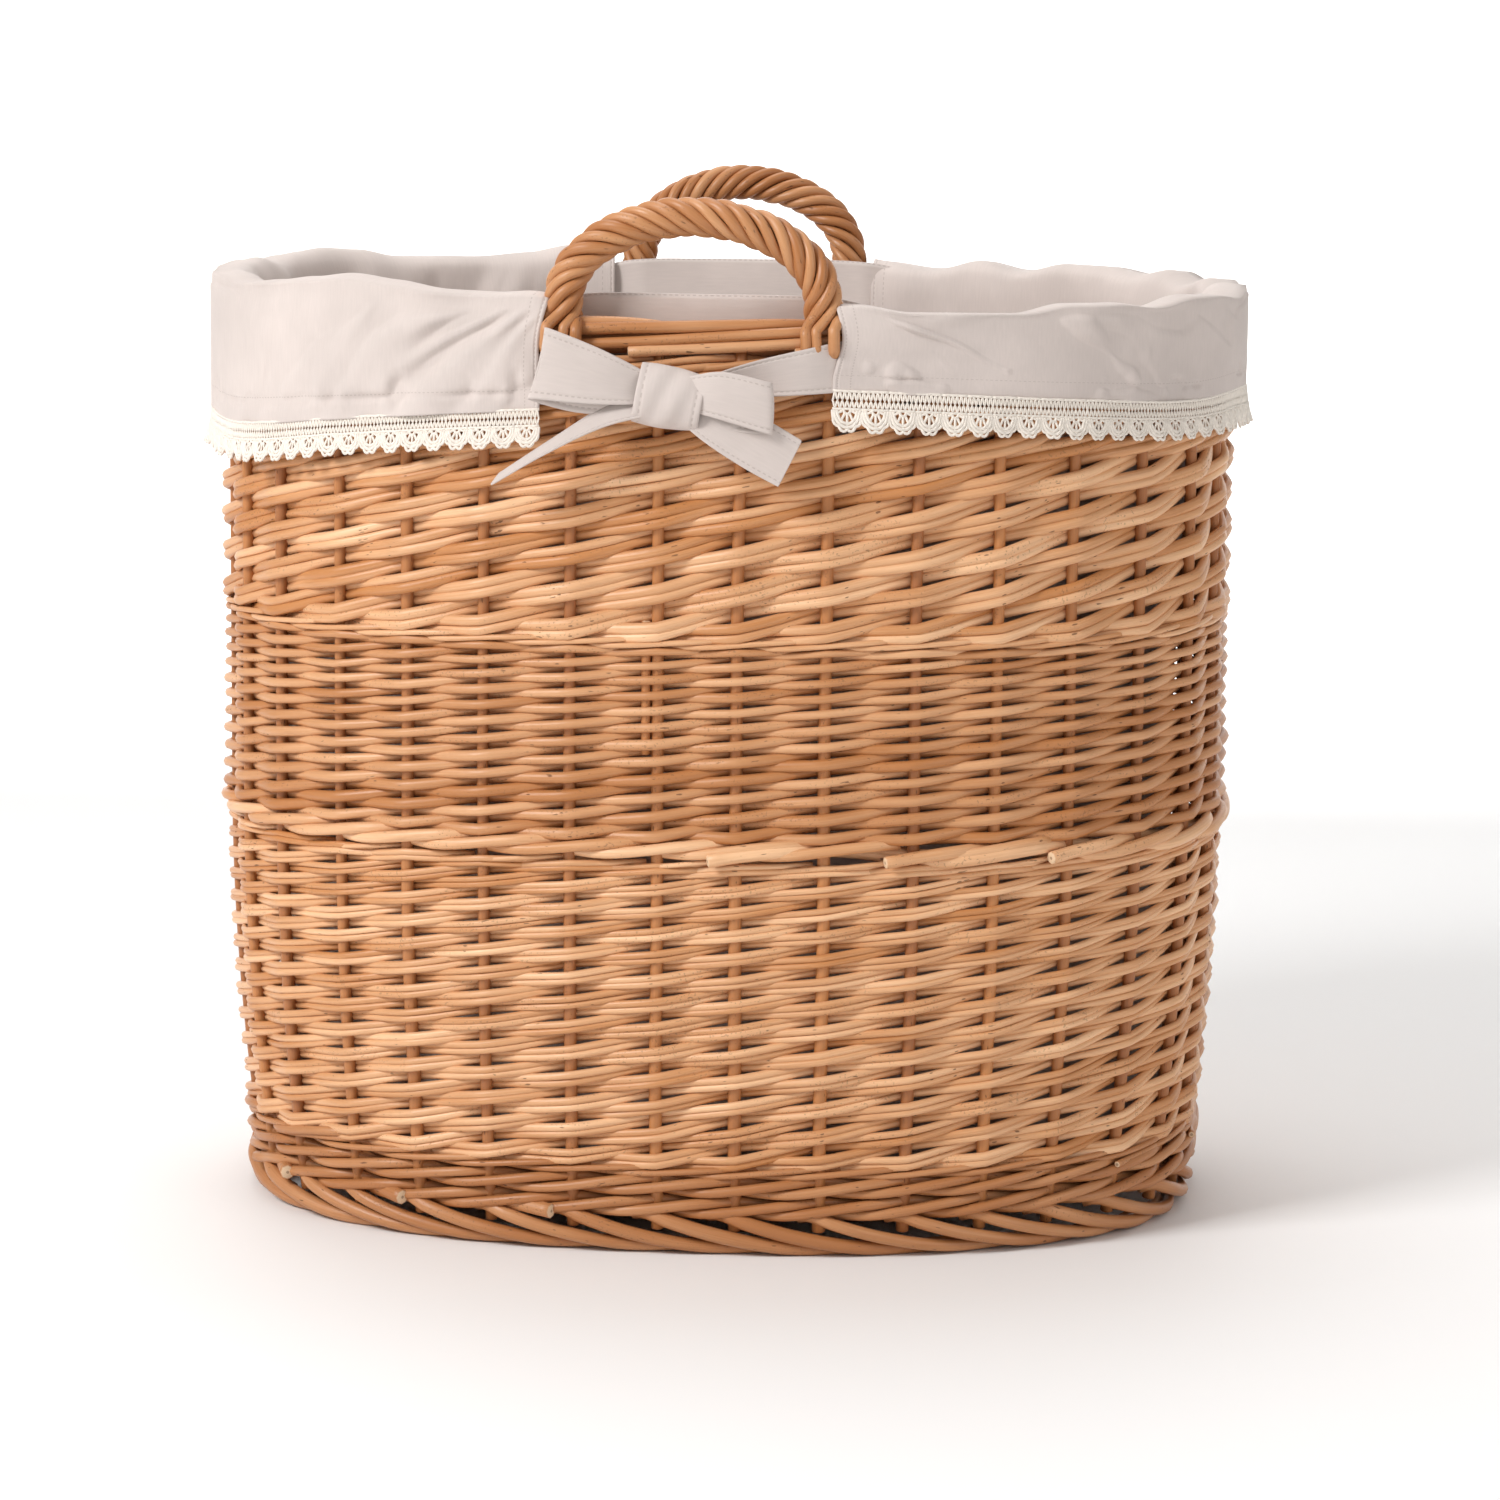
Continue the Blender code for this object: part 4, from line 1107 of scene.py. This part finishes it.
def make_tie(oval, face, where, material):
    """Two straps, and a bow of two loops, two tails and a knot, under a handle. All in millimetres.

    x runs along the front, y is the depth (less is nearer the viewer of the front) and z the height.
    """
    front = -RIM_HIGH.y / MM
    rim = RIM_HEIGHT / MM
    knot = np.array([-12.5, front - 14.5, rim - 37.5])

    def strip(part, keys, centres, halves, **more):
        ribbon(f"{where}_{part}", keys, turned(centres, face), turned(halves, face), material, **more)

    # Straps, from behind each cuff to the knot
    keys = [0, 0.14, 0.3, 0.7, 1]
    centres = [
        (-88, outside(oval, 88, 8.4), rim - 31),
        (-74, outside(oval, 74, 9.6), rim - 31),
        (-58, outside(oval, 58, 12.4), rim - 32),
        (-36, outside(oval, 36, 12.5), rim - 35),
        tuple(knot + [-4, 4, 0]),
    ]
    halves = [(0, 0, 12.2), (0, 0, 12.2), (0, -0.5, 12.0), (0, -1.5, 10), (0, -3, 5)]
    strip("strap_one", keys, centres, halves, nodes=[f"{where}_strap_left"])
    centres = [
        (84, outside(oval, 84, 8.4), rim - 21),
        (69, outside(oval, 69, 10.0), rim - 22.5),
        (54, outside(oval, 54, 14.0), rim - 24.5),
        (22, outside(oval, 22, 14.0), rim - 29.5),
        tuple(knot + [4, 3, 1.5]),
    ]
    halves = [(0, 0, 12.4), (0.2, 0, 12.2), (0.4, -0.4, 11.2), (0.8, -1.2, 8.2), (0, -2, 4)]
    strip("strap_two", keys, centres, halves, nodes=[f"{where}_strap_right"])
    # Left loop: out to its fold at the upper left, and back behind
    keys = [0, 0.25, 0.47, 0.53, 0.78, 1]
    way_out = [(-6, -1, 3), (-34, -6.5, 10), (-62, -5.5, 16)]
    centres = knot + (way_out + [(-63, -3.5, 15.5), (-40, 0.5, 6), (-6, 2, -1)])
    halves = [(1, 0, 6), (2.5, -0.5, 13), (4, 0, 17), (4, 0.5, 17), (0.5, 0.5, 14), (0, 0, 6)]
    strip("loop_one", keys, centres, halves, nodes=[f"{where}_bow"], curl=-1.2)
    # Right loop: square fold at its far end
    way_out = [(7, -2.5, 3), (26, -6.5, 2), (48, -6, -3.5)]
    centres = knot + (way_out + [(48.8, -4.2, -3.8), (28, -1, -4), (6, 1, -1)])
    halves = [(1.5, 0, 7.5), (0.5, -0.4, 11.5), (0, 0, 12.4), (0, 0.2, 12.2), (1, 0.5, 10.5), (0, 0, 5)]
    strip("loop_two", keys, centres, halves, curl=-1.0)
    # Tails
    keys = [0, 0.35, 0.7, 1]
    centres = knot + [(-3, 0, -1), (-30, -2.8, -8.5), (-58, -3.0, -24), (-84, 0.5, -40.5)]
    halves = [(1, 2, 6), (1.5, 3.5, 5.5), (2.2, 4.0, 3.8), (1.8, 2.0, 2.6)]
    strip("tail_one", keys, centres, halves)
    centres = knot + [(3, 1, -2), (22, -1.5, -10.5), (42, -1.5, -21.5), (58, 0.0, -30.5)]
    halves = [(2, 1, 6), (4.5, 0.4, 10.5), (5.8, 0, 11.4), (5.6, 0, 11.2)]
    strip("tail_two", keys, centres, halves)
    # The knot: a band wrapped round them, closed behind
    u = np.linspace(0, TAU, 40)
    v = np.linspace(-1, 1, 17)
    squeeze = 1 - 0.10 * v[None] ** 2
    slant = v[None] * 3.0
    x = v[None] * 14.0 + 2.5 * np.cos(u)[:, None]
    height = 14.2 * np.cos(u)[:, None] * squeeze * (1 - 0.06 * v[None])
    depth = -7.2 * np.sin(u)[:, None] * squeeze - 1.2 * np.exp(-(((u[:, None] - 1.4) / 0.8) ** 2))
    crease = 0.7 * np.sin(v[None] * 7 + 2 * u[:, None]) * (1 - v[None] ** 2)
    band = [x + slant * 0.6, depth + crease + 1.5, height - slant * 0.9]
    points = knot + np.stack(band, axis=-1)
    points = turned(points.reshape(-1, 3), face).reshape(*points.shape) * MM
    along = u[:, None] / TAU * 0.062
    width = sizes().ribbon
    across = (v[None] + 1) / 2 * width + 0 * along
    made = cloth_grid(f"{where}_knot", points, along + 0 * v, across, width, material, 1.4 * MM, level=1)
    finish_piece(made, "liner", "liner_cotton")


# The stage


CAMERA_ROLL = 0.55  # degrees
CAMERA_PITCH = 9.31  # degrees down
CAMERA_AIM = 0.285  # degrees to the right of the basket's middle


def make_stage():
    """A pale floor that runs up into a pale backdrop, soft lights, and the camera."""
    made, wire = new_material("floor", 0.7, specular=0.1)
    made.node_tree.nodes["Principled BSDF"].inputs["Base Color"].default_value = (*colours().floor, 1)
    width = 6.0
    profile = np.linspace(-3, 5, 60)
    rise = np.where(profile > 3, (profile - 3) ** 2, 0)
    x = np.array([-width, width])
    points = np.stack(np.broadcast_arrays(x[None], profile[:, None], rise[:, None]), axis=-1)
    i = np.arange(120).reshape(60, 2)
    quads = np.stack([i[:-1, 0], i[:-1, 1], i[1:, 1], i[1:, 0]], axis=-1)
    floor = build("floor", points, quads, np.zeros((0, 3)), made, {})
    world = bpy.context.scene.world or bpy.data.worlds.new("World")
    bpy.context.scene.world = world
    world.use_nodes = True
    background = world.node_tree.nodes["Background"]
    background.inputs["Color"].default_value = (1.0, 0.975, 0.95, 1)
    background.inputs["Strength"].default_value = 0.44
    for name, place, aim, extent, power in (
        ("key", (-1.9, -1.7, 2.0), (0, 0, 0.3), 0.9, 68),
        ("fill", (2.2, -1.6, 1.2), (0, 0, 0.25), 1.6, 12),
        ("top", (-0.2, 0.7, 2.6), (0, 0, 0.3), 1.4, 22),
        ("backdrop", (0, 1.8, 2.6), (0, 5.5, 1.6), 3.0, 160),
    ):
        light = bpy.data.lights.new(name, "AREA")
        light.energy, light.size = power, extent
        thing = bpy.data.objects.new(name, light)
        bpy.context.scene.collection.objects.link(thing)
        aim_at(thing, place, aim)
    camera = bpy.data.cameras.new("camera")
    camera.lens = 118.4
    camera.sensor_width = 36
    thing = bpy.data.objects.new("camera", camera)
    bpy.context.scene.collection.objects.link(thing)
    azimuth, distance, eye = math.radians(4.6), 2.546, 0.645
    place = np.array([math.sin(azimuth) * distance, -math.cos(azimuth) * distance, eye])
    turn = Matrix.Rotation(azimuth - math.radians(CAMERA_AIM), 3, "Z")
    tip = Matrix.Rotation(math.radians(90 - CAMERA_PITCH), 3, "X")
    roll = Matrix.Rotation(math.radians(CAMERA_ROLL), 3, "Z")
    thing.location = place
    thing.rotation_euler = (turn @ tip @ roll).to_euler()
    camera.clip_start, camera.clip_end = 0.1, 30
    bpy.context.scene.camera = thing
    bpy.context.scene.view_settings.view_transform = "Standard"


def aim_at(thing, place, aim):
    """Stands a light or a camera at a place, looking towards another."""
    place = Vector(place)
    thing.location = place
    thing.rotation_euler = (Vector(aim) - place).to_track_quat("-Z", "Y").to_euler()


# Operators and the panel


def once(name, maker):
    """A material made the first time that it is asked for."""
    return bpy.data.materials.get(name) or maker(name)


def blend(first, second, share):
    return [a * (1 - share) + b * share for a, b in zip(first, second)]


def pale_willow():
    return once("pale_willow", lambda name: willow(name, colours().honey, colours().pale))


def mid_willow():
    low = blend(colours().honey, colours().russet, 0.35)
    high = blend(colours().pale, colours().honey, 0.38)
    return once("mid_willow", lambda name: willow(name, low, high))


def brown_willow():
    low = blend(colours().honey, colours().russet, 0.65)
    high = blend(colours().pale, colours().honey, 0.6)
    return once("brown_willow", lambda name: willow(name, low, high))


def dark_willow():
    return once("dark_willow", lambda name: willow(name, colours().russet, colours().honey, 0.45))


def plain_cotton():
    return once("plain_cotton", cotton)


class BasketOperator:
    bl_options = {"REGISTER", "UNDO"}

    def execute(self, context):
        self.make(Oval())
        return {"FINISHED"}


class BASKET_OT_stakes(BasketOperator, Operator):
    """Sets up the stakes"""

    bl_idname = "basket.stakes"
    bl_label = "Stakes"

    def make(self, oval):
        make_stakes(oval, dark_willow())


class BASKET_OT_weaves(BasketOperator, Operator):
    """Weaves the three bands of the wall"""

    bl_idname = "basket.weaves"
    bl_label = "Weaving"

    def make(self, oval):
        make_weaves(oval, mid_willow(), pale_willow())


class BASKET_OT_wales(BasketOperator, Operator):
    """Twists the three wales"""

    bl_idname = "basket.wales"
    bl_label = "Wales"

    def make(self, oval):
        make_wales(oval, brown_willow(), pale_willow())


class BASKET_OT_borders(BasketOperator, Operator):
    """Lays the foot border and the top border"""

    bl_idname = "basket.borders"
    bl_label = "Borders"

    def make(self, oval):
        make_borders(oval, brown_willow(), mid_willow())


class BASKET_OT_base(BasketOperator, Operator):
    """Weaves the base round its sticks"""

    bl_idname = "basket.base"
    bl_label = "Base"

    def make(self, oval):
        make_base(oval, mid_willow(), dark_willow())


class BASKET_OT_handles(BasketOperator, Operator):
    """Winds the two rope handles"""

    bl_idname = "basket.handles"
    bl_label = "Handles"

    def make(self, oval):
        rope = brown_willow()
        make_handle(oval, "front_rope", "handle_front", -1, rope, 91)
        make_handle(oval, "back_rope", "handle_back", 1, rope, 95)


class BASKET_OT_liner(BasketOperator, Operator):
    """Hangs the bag and folds its cuffs, with their lace, over the rim"""

    bl_idname = "basket.liner"
    bl_label = "Liner"

    def make(self, oval):
        make_bag(oval, plain_cotton())
        for face, where in ((-1, "front"), (1, "back")):
            make_binding(oval, face, f"{where}_edge", f"edge_binding_{where}", plain_cotton())
        thread = once("lace_thread", lace_thread)
        for side, where in ((-1, "left"), (1, "right")):
            cuff, length = make_cuff(oval, side, f"cuff_{where}", f"liner_cuff_{where}", plain_cotton())
            lace = make_lace(oval, side, f"lace_{where}", f"lace_trim_{where}", thread)


class BASKET_OT_ties(BasketOperator, Operator):
    """Ties the straps in a bow under each handle"""

    bl_idname = "basket.ties"
    bl_label = "Ties"

    def make(self, oval):
        for face, where in ((-1, "front"), (1, "back")):
            make_tie(oval, face, where, plain_cotton())


class BASKET_OT_stage(BasketOperator, Operator):
    """Sets up the floor, the lights and the camera"""

    bl_idname = "basket.stage"
    bl_label = "Stage"

    def make(self, oval):
        make_stage()


OPERATORS = (
    BASKET_OT_stage,
    BASKET_OT_stakes,
    BASKET_OT_weaves,
    BASKET_OT_wales,
    BASKET_OT_borders,
    BASKET_OT_base,
    BASKET_OT_handles,
    BASKET_OT_liner,
    BASKET_OT_ties,
)


class BASKET_PT_panel(Panel):
    """Lists the pieces"""

    bl_label = "Willow basket"
    bl_idname = "BASKET_PT_panel"
    bl_space_type = "VIEW_3D"
    bl_region_type = "UI"
    bl_category = "Basket"

    def draw(self, context):
        for group in (context.scene.basket_sizes, context.scene.basket_colours):
            for key in group.bl_rna.properties.keys():
                if key not in ("rna_type", "name"):
                    self.layout.prop(group, key)
        for operator in OPERATORS:
            self.layout.operator(operator.bl_idname)


CLASSES = (BasketSizes, BasketColours, *OPERATORS, BASKET_PT_panel)


def register():
    for made in CLASSES:
        bpy.utils.register_class(made)
    bpy.types.Scene.basket_sizes = PointerProperty(type=BasketSizes)
    bpy.types.Scene.basket_colours = PointerProperty(type=BasketColours)


def unregister():
    del bpy.types.Scene.basket_colours
    del bpy.types.Scene.basket_sizes
    for made in reversed(CLASSES):
        bpy.utils.unregister_class(made)


def main():
    register()
    for operator in OPERATORS:
        group, name = operator.bl_idname.split(".")
        getattr(getattr(bpy.ops, group), name)()


if __name__ == "__main__":
    main()
